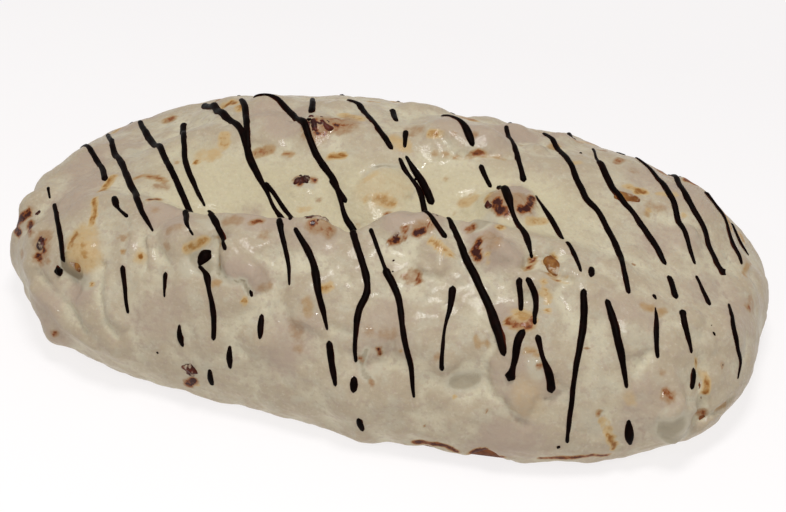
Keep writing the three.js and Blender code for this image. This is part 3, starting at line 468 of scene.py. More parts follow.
BACK_LEAN = 0.18  # mm that a stroke goes along the loaf for each degree on its way down
BACK_GAP = 5  # degrees between two strokes of one pass
BACK_START = 10  # how many degrees past the crest's roll a pass starts at most
BACK_RUNS = [(10, 8), (8, 14)]  # degrees of its two strokes: the least, and how much more
BACK_LEANS = (0.4, 1.8)  # the shares of the lean, in the same way
BACK_SWAY = 0.8  # mm
BACK_WIDTH = 1.8
BACK_WIDTHS = (1.3, 1.1)  # a station's, the least and how much more
BACK_SECOND = 0.75  # the share of passes that go on below their gap
STROKE_STEP = 0.8  # mm between the points of a stroke
STROKE_KINK = 0.22  # mm that a stroke wanders to either side
WIDTH_WANDER = 0.14  # the share by which its width wanders
SLIMMING = 0.87  # the listed widths take in the strokes' shadows
TRIAL_POINTS = 12  # points for each station, when a stroke is measured
CAP_SHARES = [0, 0.08, 0.3, 0.62, 1.0]  # where a round end has points, in end radii
LEAST_END = 0.03  # the square of the share of its width that is left at a stroke's very end
NOISE_ROW = 3.7  # how far apart two strokes take their noise
STROKE_ROUNDS = 3  # rounds of smoothing along a stroke

# The camera, as the photo was taken: degrees, and millimetres from the loaf.
VIEW_TURN = 16.5
VIEW_RISE = 37.0
VIEW_DISTANCE = 700.0
VIEW_SCALE = 3.83  # image pixels to a millimetre at the loaf's middle
IMAGE_WIDTH = 786
SENSOR_WIDTH = 36.0
AIM_HEIGHT = 25.0
AIM_DOWN = 6.0
AIM_RIGHT = 0.6

# The stage, in metres.
TABLE_HALF = 3.0
TABLE_LEVEL = -0.1 * MM  # just under the loaf
NEAR_GLOW = 1.13  # how much brighter the table is in front of the loaf
GLOW_DEPTHS = (-0.12, 0.14)  # the y at which that ends, and at which none of it is left
LAMPS = [  # (name, share of the key's power, width, place)
    ("key", 1.0, 0.3, (0.06, -0.12, 1.0)),
    ("front glint", 0.12, 0.03, (0.3, -0.75, 0.7)),
    ("side glint", 0.08, 0.03, (-0.25, -0.7, 0.8)),
    ("top glint", 0.06, 0.03, (0.15, 0.15, 1.0)),
]


# ---------------------------------------------------------------- the coat's surface


def ease(value):
    """0 up to 0 and 1 from 1, with a smooth step between."""
    share = np.clip(value, 0, 1)
    return share * share * (3 - 2 * share)


def ramp(value, start, end):
    """0 as far as start and 1 from end on, with a smooth step between. Either may be greater."""
    return ease((value - start) / (end - start))


def stretch(value, ends):
    """1 between two ends and 0 outside them."""
    first, second = ends
    return ramp(value, *first) * ramp(value, *second)


def bell(value):
    """1 at 0, falling away smoothly on both sides."""
    return np.exp(-value * value)


def random_from(seed):
    """A seeded run of numbers from 0 to 1."""
    factor, step, size = 1664525, 1013904223, 2 ** 32
    state = seed
    while True:
        state = (state * factor + step) % size
        yield state / size


def pick(draw, least, more):
    """The next seeded number, laid between the least and so much more."""
    return least + more * next(draw)


def gauge(x, y, z):
    """0 on the loaf's axis and 1 on the plain dome."""
    plan = abs(x / HALF_LENGTH) ** PLAN_POWER + abs(y / HALF_WIDTH) ** PLAN_POWER
    reach = TOP - WAIST if z > WAIST else TUCK
    return math.hypot(plan ** (1 / PLAN_POWER), (z - WAIST) / reach)


def station(x, roll):
    """The point of the plain dome at a station."""
    angle = math.radians(roll)
    inside = 0.0
    outside = 2 * HALF_WIDTH
    halvings = 30
    for _ in range(halvings):
        middle = (inside + outside) / 2
        if gauge(x, -middle * math.cos(angle), WAIST + middle * math.sin(angle)) < 1:
            inside = middle
        else:
            outside = middle
    return np.array([x, -inside * math.cos(angle), WAIST + inside * math.sin(angle)])


def lip_line(x):
    """The y of the fold's lip, which wanders as it runs along the loaf."""
    y = LIP_Y
    for shift, start, end in LIP_BENDS:
        y = y + shift * ramp(x, start, end)
    return y


def fold_height(x, y):
    """The fold: a crest along the lip, the drop behind it and the long rise to the back."""
    past = y - lip_line(x)
    along = stretch(x, FOLD_X)
    middle = stretch(x, MIDDLE_X)

    def size(pair):
        return pair[0] + pair[1] * middle

    drop = size(LIP_DROP) * along * ease(past / size(LIP_RUN))
    back = ramp(past, *BACK_PAST) * ramp(y, *BACK_Y) * ramp(x, *BACK_RIGHT) * ramp(x, *BACK_LEFT)
    crest = size(CREST_RISE) * along * bell((past + CREST_BEFORE) / CREST_SPAN)
    return crest + BACK_RISE * back - drop * (1 - ramp(past, *DROP_END))


def small_lumps():
    """Small lumps all over, lower where the icing lies smooth."""
    draw = random_from(seed=7)
    valley_x, valley_half, valley_width = VALLEY
    lumps = []
    while len(lumps) < SMALL_LUMPS:
        x = (2 * next(draw) - 1) * SMALL_LUMP_X
        roll = pick(draw, *SMALL_LUMP_ROLL)
        radius = pick(draw, *SMALL_LUMP_RADIUS)
        height = pick(draw, *SMALL_LUMP_HEIGHT)
        centre = station(x, roll)
        past = centre[1] - lip_line(x)
        smooth = 0 < past < valley_width and abs(x - valley_x) < valley_half
        for from_x, to_x, from_roll, to_roll in SMOOTH_PLACES:
            smooth = smooth or (from_x < x < to_x and from_roll < roll < to_roll)
        lumps.append((centre, radius, SMOOTH_SHARE * height if smooth else height))
    return lumps


def swell_waves(size, seed):
    """Sine waves of about one size, in seeded directions: (wave vector, phase)."""
    draw = random_from(seed)
    waves = []
    for _ in range(SWELL_WAVES):
        rise = 2 * next(draw) - 1
        turn = 2 * math.pi * next(draw)
        level = math.sqrt(1 - rise * rise)
        number = 2 * math.pi / (size * pick(draw, 0.8, 0.5))
        direction = np.array([level * math.cos(turn), level * math.sin(turn), rise]) * number
        waves.append((direction, 2 * math.pi * next(draw)))
    return waves


def swell(points, waves):
    """The uneven swell that waves make together."""
    return sum(np.sin(points @ ahead + phase) for ahead, phase in waves) / math.sqrt(SWELL_WAVES)


LISTED_LUMPS = LUMPS + HOLLOWS + SWELLS
ALL_LUMPS = [(station(x, roll), radius, height) for x, roll, radius, height in LISTED_LUMPS]
ALL_LUMPS += small_lumps()
LONG_WAVES = swell_waves(LONG_SWELL, seed=3)
SHORT_WAVES = swell_waves(SHORT_SWELL, seed=11)


def relief(points):
    """How far the lumps and swells push the coat out at points of the plain dome."""
    height = LONG_SWELL_HEIGHT * swell(points, LONG_WAVES)
    height += SHORT_SWELL_HEIGHT * swell(points, SHORT_WAVES)
    for centre, radius, rise in ALL_LUMPS:
        reach = np.linalg.norm(points - centre, axis=1) / radius
        height += rise * np.clip(1 - reach * reach, 0, 1) ** 2
    return height


def bend(points):
    """The loaf isn't quite straight: its -X end is narrower and swings to the front."""
    x, y, z = points.T
    left = ramp(x, *LEFT_X)
    right = ramp(x, *RIGHT_X)
    side = y / HALF_WIDTH
    slack = FRONT_SLACK * ramp(x, *SLACK_X) * ramp(y, *SLACK_Y) * ramp(z, *SLACK_Z)
    narrower_behind, narrower_before = LEFT_NARROWING
    behind = -narrower_behind * left * side - BACK_DENT * bell(x / DENT_SPAN) * side
    before = -narrower_before * left * side - slack
    return np.column_stack([
        x - LEFT_REACH * left - RIGHT_LOSS * right,
        y - LEFT_SWING * left + np.where(y > 0, behind, before),
        z * (1 - LEFT_SINKING * ramp(x, *SINKING_X) * ramp(y, *SINKING_Y)),
    ])


def skirt(turn):
    """How much further out the foot stands at each turn round the loaf."""
    middle, span, depth = SKIRT
    return depth * bell((np.degrees(turn) - middle) / span)


def coat_points(turn, tilt, inset):
    """The coat's points at turns around the loaf and tilts from the top, less an inset."""
    cos = np.cos(turn) / HALF_LENGTH
    sin = np.sin(turn) / HALF_WIDTH
    radius = (abs(cos) ** PLAN_POWER + abs(sin) ** PLAN_POWER) ** (-1 / PLAN_POWER)
    level = np.sin(tilt)
    reach = np.where(tilt < math.pi / 2, TOP - WAIST, TUCK)
    points = np.column_stack([
        level * radius * np.cos(turn), level * radius * np.sin(turn), WAIST + reach * np.cos(tilt),
    ])
    normals = np.column_stack([
        level * np.sign(cos) * abs(cos * radius) ** (PLAN_POWER - 1) / HALF_LENGTH,
        level * np.sign(sin) * abs(sin * radius) ** (PLAN_POWER - 1) / HALF_WIDTH,
        np.cos(tilt) / reach,
    ])
    normals /= np.linalg.norm(normals, axis=1)[:, None]
    fold = fold_height(points[:, 0], points[:, 1]) * ease(FOLD_FADE * np.maximum(normals[:, 2], 0))
    push = relief(points)
    grip = ease(points[:, 2] / GRIP_HEIGHT)
    coat = points - inset * normals
    coat[:, :2] += push[:, None] * normals[:, :2]
    coat[:, 2] += push * normals[:, 2] * grip + fold
    out = skirt(turn) * ease(1 - points[:, 2] / SKIRT_HEIGHT)
    level = np.linalg.norm(normals[:, :2], axis=1).clip(1e-6)
    coat[:, :2] += (out / level)[:, None] * normals[:, :2]
    return bend(coat)


def icing_foot(turn):
    """The height of the icing's lower edge, which ran down further in some places."""
    wave = 0.5 + 0.3 * np.sin(5 * turn + 1) + 0.2 * np.sin(11 * turn + 2.2)
    height = FOOT_LOW + FOOT_WAVE * wave
    for middle, span, rise in FOOT_ARCHES:
        height += rise * bell((np.degrees(turn) - middle) / span)
    ripple = FOOT_RIPPLE * np.sin(31 * turn) * np.sin(13 * turn + 2)
    return height + ripple + FOOT_FRILL * np.sin(67 * turn)


# ---------------------------------------------------------------- meshes


def square_grid(columns, rows):
    """A flat grid of 2 x 2: its points, its faces as seen from above, and its edge as a ring."""
    across = np.linspace(-1, 1, columns + 1)
    points = np.array([(x, y) for y in np.linspace(-1, 1, rows + 1) for x in across])
    index = np.arange(len(points)).reshape(rows + 1, columns + 1)
    corners = np.stack([index[:-1, :-1], index[:-1, 1:], index[1:, 1:], index[1:, :-1]], axis=-1)
    ring = np.concatenate([index[0, :-1], index[:-1, -1], index[-1, :0:-1], index[:0:-1, 0]])
    return points, corners.reshape(-1, 4), ring


def half_box(columns, rows, sides):
    """The points, faces and foot ring of a box of 2 x 2 x 1 without its floor."""
    grid, lid_faces, ring = square_grid(columns, rows)
    lid = np.column_stack([grid, np.ones(len(grid))])
    faces = [lid_faces]
    points = [lid]
    rim = lid[ring]
    start = len(lid)
    for height in np.linspace(1, 0, sides + 1)[1:]:
        lower = start + np.arange(len(rim))
        faces.append(np.column_stack([lower, np.roll(lower, -1), np.roll(ring, -1), ring]))
        points.append(np.column_stack([rim[:, :2], np.full(len(rim), height)]))
        ring = lower
        start += len(rim)
    return np.concatenate(points), np.concatenate(faces), ring


def turns_and_tilts(box):
    """Rounds the half box to a half ball: each point's turn, and its share of the way down."""
    x, y, z = box.T
    ball_x = x * np.sqrt(1 - (y * y + z * z) / 2 + (y * y * z * z) / 3)
    ball_y = y * np.sqrt(1 - (z * z + x * x) / 2 + (z * z * x * x) / 3)
    ball_z = z * np.sqrt(1 - (x * x + y * y) / 2 + (x * x * y * y) / 3)
    turn = np.arctan2(HALF_WIDTH * ball_y, HALF_LENGTH * ball_x)
    return turn, np.arccos(np.clip(ball_z, 0, 1)) / (math.pi / 2)


def lowest_tilt(foot):
    """The tilt at which the dome's side comes down to a height."""
    return math.pi / 2 + np.arcsin((WAIST - foot) / TUCK)


def normals_of(points, faces):
    """Each point's normal, from the four-cornered faces round it."""
    a, b, c, d = (points[faces[:, i]] for i in range(4))
    face_normals = np.cross(c - a, d - b)
    sums = np.zeros_like(points)
    for i in range(4):
        np.add.at(sums, faces[:, i], face_normals)
    return sums / np.linalg.norm(sums, axis=1)[:, None]


def noise_at(points, size, seed=0.0, octaves=1):
    """Smooth noise of about -1 to 1 at each point, with swells of a size in mm."""
    shifted = points / size + seed
    if octaves == 1:
        return np.array([noise.noise(p) for p in shifted.tolist()])
    return np.array([noise.fractal(p, 1.0, 2.0, octaves) for p in shifted.tolist()])


def ray_place(tree, x, roll):
    """The outermost point and normal of a surface at a station."""
    angle = math.radians(roll)
    outward = Vector((0, -math.cos(angle), math.sin(angle)))
    start = Vector((x, 0, WAIST)) + 2 * HALF_WIDTH * outward
    place, normal, _, _ = tree.ray_cast(start, -outward)
    if place is None:
        raise RuntimeError(f"nothing lies at the station {x}, {roll}")
    return np.array(place), np.array(normal)


def distance_to_path(points, path):
    """How far each point lies from a chain of points."""
    if len(path) == 1:
        return np.linalg.norm(points - path[0], axis=1)
    nearest = np.full(len(points), np.inf)
    for start, end in zip(path[:-1], path[1:]):
        along = end - start
        share = np.clip((points - start) @ along / max(along @ along, 1e-9), 0, 1)
        nearest = np.minimum(nearest, np.linalg.norm(points - start - share[:, None] * along, axis=1))
    return nearest


def new_object(name, data):
    """A new object in the scene."""
    made = bpy.data.objects.new(name, data)
    bpy.context.scene.collection.objects.link(made)
    return made


def new_piece(name, points, faces, material):
    """A smooth mesh object, from points in the loaf's own millimetres."""
    mesh = bpy.data.meshes.new(name)
    mesh.from_pydata(((points + CENTRING) * MM).tolist(), [], faces)
    mesh.validate()
    mesh.shade_smooth()
    mesh.materials.append(material)
    return new_object(name, mesh)


def finish_piece(piece, nodes):
    """Puts a piece on the loaf in the place of its plain solids."""
    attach(piece, "root")
    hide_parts(*nodes)


def piece_tree(names):
    """The faces of finished pieces, in the loaf's own millimetres, for rays."""
    points = []
    faces = []
    for name in names:
        mesh = bpy.data.objects[name].data
        start = len(points)
        points += [Vector(v.co) / MM - Vector(CENTRING) for v in mesh.vertices]
        faces += [[start + i for i in face.vertices] for face in mesh.polygons]
    return BVHTree.FromPolygons(points, faces)


def fruit_seat(node):
    """Where a plain fruit sits: its middle, its axes and its half sizes."""
    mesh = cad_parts[node].data
    corners = np.array([v.co for v in mesh.vertices]) / MM - CENTRING
    middle = (corners.min(0) + corners.max(0)) / 2
    _, _, axes = np.linalg.svd(corners - corners.mean(0), full_matrices=False)
    if np.linalg.det(axes) < 0:
        axes[2] = -axes[2]
    spread = (corners - middle) @ axes.T
    middle = middle + ((spread.min(0) + spread.max(0)) / 2) @ axes
    return middle, axes, (spread.max(0) - spread.min(0)) / 2


def nodes_named(start):
    """The names of the frame's nodes that start with a word, in order."""
    found = [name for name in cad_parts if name.startswith(start)]
    return sorted(found, key=lambda name: int(name.rsplit("_", 1)[1]))


# ---------------------------------------------------------------- materials


def linear(hex_colour):
    """An sRGB hex colour as the linear RGBA that shaders take."""
    channels = [int(hex_colour[i:i + 2], 16) / 255 for i in (1, 3, 5)]
    return [c / 12.92 if c <= 0.04045 else ((c + 0.055) / 1.055) ** 2.4 for c in channels] + [1.0]


MIX_FACTOR = 0
MIX_A = 6
MIX_B = 7
MIX_RESULT = 2


def fill_inputs(tree, node, inputs):
    """Sets or links each of a node's inputs."""
    for key, value in inputs.items():
        if isinstance(value, bpy.types.NodeSocket):
            tree.links.new(value, node.inputs[key])
        else:
            node.inputs[key].default_value = value


def add_node(tree, kind, inputs=None, **settings):
    """Adds a node with its settings and inputs."""
    node = tree.nodes.new(kind)
    for name, value in settings.items():
        setattr(node, name, value)
    fill_inputs(tree, node, inputs or {})
    return node


def new_material(name):
    """A material with a bare Principled surface: the material, its tree and its shader."""
    material = bpy.data.materials.new(name)
    material.use_nodes = True
    tree = material.node_tree
    return material, tree, tree.nodes["Principled BSDF"]


def mottle(tree, size, detail=3.0, roughness=0.5):
    """Noise from 0 to 1, with swells of a size in mm."""
    place = add_node(tree, "ShaderNodeTexCoord").outputs["Object"]
    return add_node(tree, "ShaderNodeTexNoise", {
        "Vector": place, "Scale": 1 / (size * MM), "Detail": detail, "Roughness": roughness,
    }).outputs["Fac"]


def remap(tree, value, low, high, start=0.0, end=1.0, steps="SMOOTHSTEP"):
    """A value's range from low to high, laid over start to end and held beyond them."""
    settings = {0: value, 1: low, 2: high, 3: start, 4: end}
    return add_node(tree, "ShaderNodeMapRange", settings, interpolation_type=steps).outputs[0]


def combine(tree, operation, first, second):
    """A sum, product or the like of two values."""
    return add_node(tree, "ShaderNodeMath", {0: first, 1: second}, operation=operation).outputs[0]


def blend(tree, factor, under, over):
    """One colour over another, by a factor. A colour is a setting or a node's."""
    settings = {MIX_FACTOR: factor}
    for key, colour in ((MIX_A, under), (MIX_B, over)):
        settings[key] = colour if isinstance(colour, bpy.types.NodeSocket) else list(colour)
    return add_node(tree, "ShaderNodeMix", settings, data_type="RGBA").outputs[MIX_RESULT]


def bump(tree, strength, depth, height, **under):
    """The normal of a surface that a height roughens, over a depth in mm."""
    return add_node(tree, "ShaderNodeBump", {
        "Strength": strength, "Distance": depth * MM, "Height": height, **under,
    }).outputs["Normal"]


def icing_material(icing):
    """Sugar and cocoa butter icing, poured and set: opaque cream where it is thick, beige and
    mauve where the dough and the fruit show through its thin skin, painted shade in its dents
    and creases, with a satin gloss."""
    material, tree, shader = new_material("poured sugar icing")

    def amount(name):
        return add_node(tree, "ShaderNodeAttribute", attribute_name=name).outputs["Fac"]

    def grain(size, detail=3.0):
        return mottle(tree, size, detail, 0.55)

    wide = combine(tree, "SUBTRACT", grain(13), 0.5)
    medium = grain(5)
    fine = grain(1.6, 4.0)
    veins = grain(0.9)
    thin = combine(tree, "ADD", combine(tree, "MULTIPLY", amount("thin"), 0.55), wide)
    colour = blend(tree, remap(tree, thin, -0.15, 0.6), icing.cream, icing.thin)
    colour = blend(tree, remap(tree, medium, 0.48, 0.68, 0, 0.75), colour, icing.grey_and_shade)
    colour = blend(tree, remap(tree, fine, 0.5, 0.66, 0, 0.55), colour, icing.mauve)
    pooled = combine(tree, "MULTIPLY", amount("pooled"), remap(tree, fine, 0.3, 0.65, 1.0, 0.72))
    colour = blend(tree, pooled, colour, icing.pooled)
    colour = blend(tree, remap(tree, veins, 0.54, 0.74, 0, 0.2), colour, icing.speck)
    colour = blend(tree, remap(tree, veins, 0.46, 0.28, 0, 0.2), colour, icing.frost)
    mostly_fine = combine(tree, "MULTIPLY", fine, 0.7)
    mixed = combine(tree, "ADD", mostly_fine, combine(tree, "MULTIPLY", veins, 0.3))
    ragged = remap(tree, mixed, 0.34, 0.66, 0.74, 1.26)
    soft = remap(tree, fine, 0.34, 0.66, 0.8, 1.16)
    for kind, broken, faint, middle, full in (
        ("mauve", soft, icing.mauve, icing.mauve, icing.mauve),
        # Painted shade: dents, creases and hollow rims darkened towards grey and olive.
        ("shade", 1.0, icing.grey_and_shade, icing.dent_shade, icing.dent_shade),
        ("peel", soft, icing.peel_faint, icing.amber, icing.peel_full),
        ("crust", soft, icing.crust_faint, icing.juice, icing.crust_full),
        ("raisin", ragged, icing.raisin_faint, icing.juice, icing.raisin_full),
    ):
        shown = combine(tree, "MULTIPLY", amount(kind), broken)
        for low, high, layer in ((0.02, 0.5, faint), (0.45, 0.75, middle), (0.68, 0.95, full)):
            colour = blend(tree, remap(tree, shown, low, high), colour, layer)
    uneven = bump(tree, 0.9, 0.55, grain(2.6))
    crystals = bump(tree, 0.35, 0.08, grain(0.7, 2.0), Normal=uneven)
    fill_inputs(tree, shader, {
        "Base Color": colour, "Normal": crystals,
        # Sugar crystals break the gloss up a little.
        "Roughness": remap(tree, medium, 0.3, 0.7, 0.42, 0.62),
        "IOR": 1.46, "Specular IOR Level": 0.2, "Coat Weight": 0.15, "Coat Roughness": 0.08,
        "Subsurface Weight": 0.12, "Subsurface Radius": (1.0, 0.7, 0.45),
        "Subsurface Scale": 1.6 * MM,
    })
    return material


def chocolate_material(chocolate):
    """Dark couverture, drizzled and set: almost black, with a soft fat bloom and a low gloss."""
    material, tree, shader = new_material("dark couverture chocolate")
    streaks = mottle(tree, 2.2)
    warm = remap(tree, streaks, 0.45, 0.75, steps="LINEAR")
    colour = blend(tree, warm, chocolate.dark, chocolate.warm)
    # The thin edges let red-brown light through.
    surface = add_node(tree, "ShaderNodeNewGeometry").outputs["Normal"]
    outward = add_node(tree, "ShaderNodeAttribute", attribute_name="outward").outputs["Vector"]
    facing = add_node(
        tree, "ShaderNodeVectorMath", {0: surface, 1: outward}, operation="DOT_PRODUCT",
    ).outputs["Value"]
    colour = blend(tree, remap(tree, facing, 0.62, 0.2), colour, chocolate.edge)
    fill_inputs(tree, shader, {
        "Base Color": colour, "Normal": bump(tree, 0.5, 0.12, streaks),
        "Roughness": remap(tree, streaks, 0.3, 0.7, 0.42, 0.6, "LINEAR"),
        "IOR": 1.45, "Specular IOR Level": 0.03,
    })
    return material


def fruit_material(name, skin, glow, film, film_share, gloss):
    """Soaked fruit under a broken film of icing: a deep skin, lighter where light gets in,
    and pale smears where the icing still clings."""
    material, tree, shader = new_material(name)
    depth = mottle(tree, 2.4)
    body = blend(tree, remap(tree, depth, 0.4, 0.7, steps="LINEAR"), skin, glow)
    edge = 1 - film_share
    smear = mottle(tree, 3.1, 4.0, 0.6)
    clinging = remap(tree, smear, edge, edge + FILM_EDGE, 0, FILM_COVER)
    fill_inputs(tree, shader, {
        "Base Color": blend(tree, clinging, body, film), "Normal": bump(tree, 0.5, 0.15, depth),
        "Roughness": gloss, "IOR": 1.45, "Specular IOR Level": 0.25,
        "Subsurface Weight": 0.15, "Subsurface Radius": (1.0, 0.45, 0.25),
        "Subsurface Scale": 1.2 * MM,
    })
    return material


def crust_material(dough):
    """Baked yeast dough: brown and matt, darker in patches, with fine open pores."""
    material, tree, shader = new_material("baked yeast dough")
    patches = mottle(tree, 5, 5.0, 0.7)
    browning = remap(tree, patches, 0.38, 0.66, steps="LINEAR")
    place = add_node(tree, "ShaderNodeTexCoord").outputs["Object"]
    pores = add_node(tree, "ShaderNodeTexVoronoi", {"Vector": place, "Scale": 1 / (1.4 * MM)})
    fill_inputs(tree, shader, {
        "Base Color": blend(tree, browning, dough.golden, dough.brown),
        "Normal": bump(tree, 0.7, 0.3, pores.outputs["Distance"]),
        "Roughness": 0.8, "Specular IOR Level": 0.3,
    })
    return material


# ---------------------------------------------------------------- settings


def colour_property(name, description, hex_colour):
    """A colour that a user can change, with its default as sRGB hex."""
    return bpy.props.FloatVectorProperty(
        name=name, description=description, subtype="COLOR", size=4, min=0, max=1,
        default=linear(hex_colour),
    )


def length_property(name, description, default, largest):
    """A length that a user can change, with its default and its largest value in mm."""
    return bpy.props.FloatProperty(
        name=name, description=description, default=default * MM, min=0, max=largest * MM,
        unit="LENGTH",
    )


def number_property(name, description, default, largest, kind="NONE"):
    """A number from 0 up that a user can change."""
    return bpy.props.FloatProperty(
        name=name, description=description, default=default, min=0, max=largest, subtype=kind,
    )


class IcingSettings(bpy.types.PropertyGroup):
    unevenness: length_property("Unevenness", "Height of the fine waves in the icing", 0.44, 2)
    creases: length_property("Creases", "Depth of the fine creases in the icing", 0.3, 2)
    bead: length_property("Foot bead", "How far the icing swells along its foot", 0.55, 2)
    cream: colour_property("Cream", "Icing of the usual thickness", "#c8bfa5")
    thin: colour_property("Thin", "Icing drawn thin over a lump", "#b0a189")
    pooled: colour_property("Pooled", "Icing that has pooled thick", "#c4b999")
    # The grey colour is the icing's own cool patches, and also the faintest layer of the painted shade
    # in dents and creases.
    grey_and_shade: colour_property("Grey", "Icing in its cool patches", "#b9b09a")
    mauve: colour_property("Mauve", "Icing with raisins deep under it", "#ac9a88")
    frost: colour_property("Frost", "The palest grains in the icing", "#dbd3bc")
    speck: colour_property("Speck", "The thinnest grains in the icing", "#9d8f78")
    # The dent colour is painted shade, laid into dents, creases and the rims of hollows.
    dent_shade: colour_property("Dent", "Clear icing in a dent", "#857860")
    peel_faint: colour_property("Peel glow", "Peel under the icing", "#bca277")
    amber: colour_property("Amber", "Peel close under the icing", "#a67f49")
    peel_full: colour_property("Peel skin", "Peel almost bare", "#8a581f")
    crust_faint: colour_property("Crust glow", "Crust under the icing", "#a88a62")
    crust_full: colour_property("Crust skin", "Crust almost bare", "#4a1c04")
    raisin_faint: colour_property("Raisin glow", "A raisin under the icing", "#9f8262")
    raisin_full: colour_property("Raisin skin", "A raisin almost bare", "#380f05")
    juice: colour_property("Juice", "The red-brown rim round dark fruit", "#85481a")


class DoughSettings(bpy.types.PropertyGroup):
    golden: colour_property("Golden", "The paler crust", "#7a4520")
    brown: colour_property("Brown", "The darker crust", "#401c0a")
    hollow: length_property("Hollow", "How far the underside is hollow in places", 0.5, 1)


class FruitSettings(bpy.types.PropertyGroup):
    wrinkle: number_property(
        "Wrinkles", "Depth of a raisin's folds, as a share of its radius", 0.34, 0.6, "FACTOR",
    )
    growth: length_property("Growth", "How far a fruit swells beyond its plain solid", 0.25, 1)
    sink: length_property("Sink", "How much deeper than its plain solid a raisin lies", 0.45, 2)
    raisin: colour_property("Raisin", "A raisin's dark skin", "#2c0a04")
    raisin_glow: colour_property("Raisin glow", "Where light gets into a raisin", "#5e200c")
    peel: colour_property("Peel", "Candied peel", "#6e3d13")
    peel_glow: colour_property("Peel glow", "Where light gets into the peel", "#966832")
    film: colour_property("Film", "Icing that clings to the fruit", "#b9a78f")


class ChocolateSettings(bpy.types.PropertyGroup):
    sides: bpy.props.IntProperty(
        name="Sides", description="Faces round a stroke", default=10, min=6, max=24,
    )
    sink: number_property(
        "Sink", "How deep a stroke's middle lies, as a share of its half width", 0.3, 0.9, "FACTOR",
    )
    dark: colour_property("Dark", "The chocolate", "#080302")
    warm: colour_property("Warm", "Its thinner streaks", "#150705")
    edge: colour_property("Edge", "Its thin edges", "#4f1f10")


class StageSettings(bpy.types.PropertyGroup):
    floor: colour_property("Floor", "The table's colour", "#7c7a7a")
    glow: number_property("Glow", "Strength of the table's own light", 0.73, 5)
    sky: colour_property("Sky", "The colour of the soft light all round", "#fffdfd")
    sky_strength: number_property("Sky strength", "Strength of the light all round", 0.42, 5)
    key_power: number_property("Key power", "Power of the large soft lamp in watts", 5.4, 100)


class StollenSettings(bpy.types.PropertyGroup):
    icing: bpy.props.PointerProperty(type=IcingSettings)
    dough: bpy.props.PointerProperty(type=DoughSettings)
    fruit: bpy.props.PointerProperty(type=FruitSettings)
    chocolate: bpy.props.PointerProperty(type=ChocolateSettings)
    stage: bpy.props.PointerProperty(type=StageSettings)


# ---------------------------------------------------------------- dough


class STOLLEN_OT_dough(bpy.types.Operator):
    """Bake the loaf: the brown dough that shows at the foot and underneath"""

    bl_idname = "stollen.dough"
    bl_label = "Dough"

    def execute(self, context):
        settings = context.scene.stollen.dough
        columns, rows, sides = (count // DOUGH_SHARE for count in COAT_GRID)
        box, faces, ring = half_box(columns, rows, sides)
        turn, share = turns_and_tilts(box)
        lowest = lowest_tilt(-DOUGH_BELOW * ICING_DEPTH)
        points = coat_points(turn, share * lowest, ICING_DEPTH)
        self.push_foot(points, turn)
        points[ring, 2] = 0
        floor, floor_faces, edge = self.underside(columns, rows, lowest, settings.hollow / MM)
        # The underside's edge is made the same points as the sides' foot.
        joined = len(points) + np.arange(len(floor))
        joined[edge] = ring
        all_points = np.concatenate([points, floor])
        all_faces = np.concatenate([faces, joined[floor_faces]]).tolist()
        piece = new_piece("baked_dough", all_points, all_faces, crust_material(settings))
        finish_piece(piece, ["loaf"])
        return {"FINISHED"}

    @staticmethod
    def push_foot(points, turn):
        """Brings the dough's foot out as far as the icing's, so that it shows under the arches."""
        out = CRUST_PUSH * skirt(turn) * ease(1 - points[:, 2] / CRUST_HEIGHT)
        points[:, :2] += out[:, None] * np.column_stack([np.cos(turn), np.sin(turn)])

    def underside(self, columns, rows, lowest, depth):
        """The flat underside, shallowly hollow away from its edge: points, faces and edge."""
        grid, faces, edge = square_grid(columns, rows)
        x, y = grid.T
        disc_x = x * np.sqrt(1 - y * y / 2)
        disc_y = y * np.sqrt(1 - x * x / 2)
        turn = np.arctan2(HALF_WIDTH * disc_y, HALF_LENGTH * disc_x)
        outline = coat_points(turn, np.full(len(turn), lowest), ICING_DEPTH)
        self.push_foot(outline, turn)
        reach = np.hypot(disc_x, disc_y)
        floor = outline * reach[:, None]
        floor[:, 2] = 0
        hollow = ease((1 - reach) / HOLLOW_EDGE) * (0.5 + 0.5 * noise_at(floor, HOLLOW_SIZE, 5.0, 3))
        floor[:, 2] = depth * np.clip(hollow, 0, 1)
        seen_from_below = faces[:, [0, 3, 2, 1]]
        return floor, seen_from_below, edge


# ---------------------------------------------------------------- icing


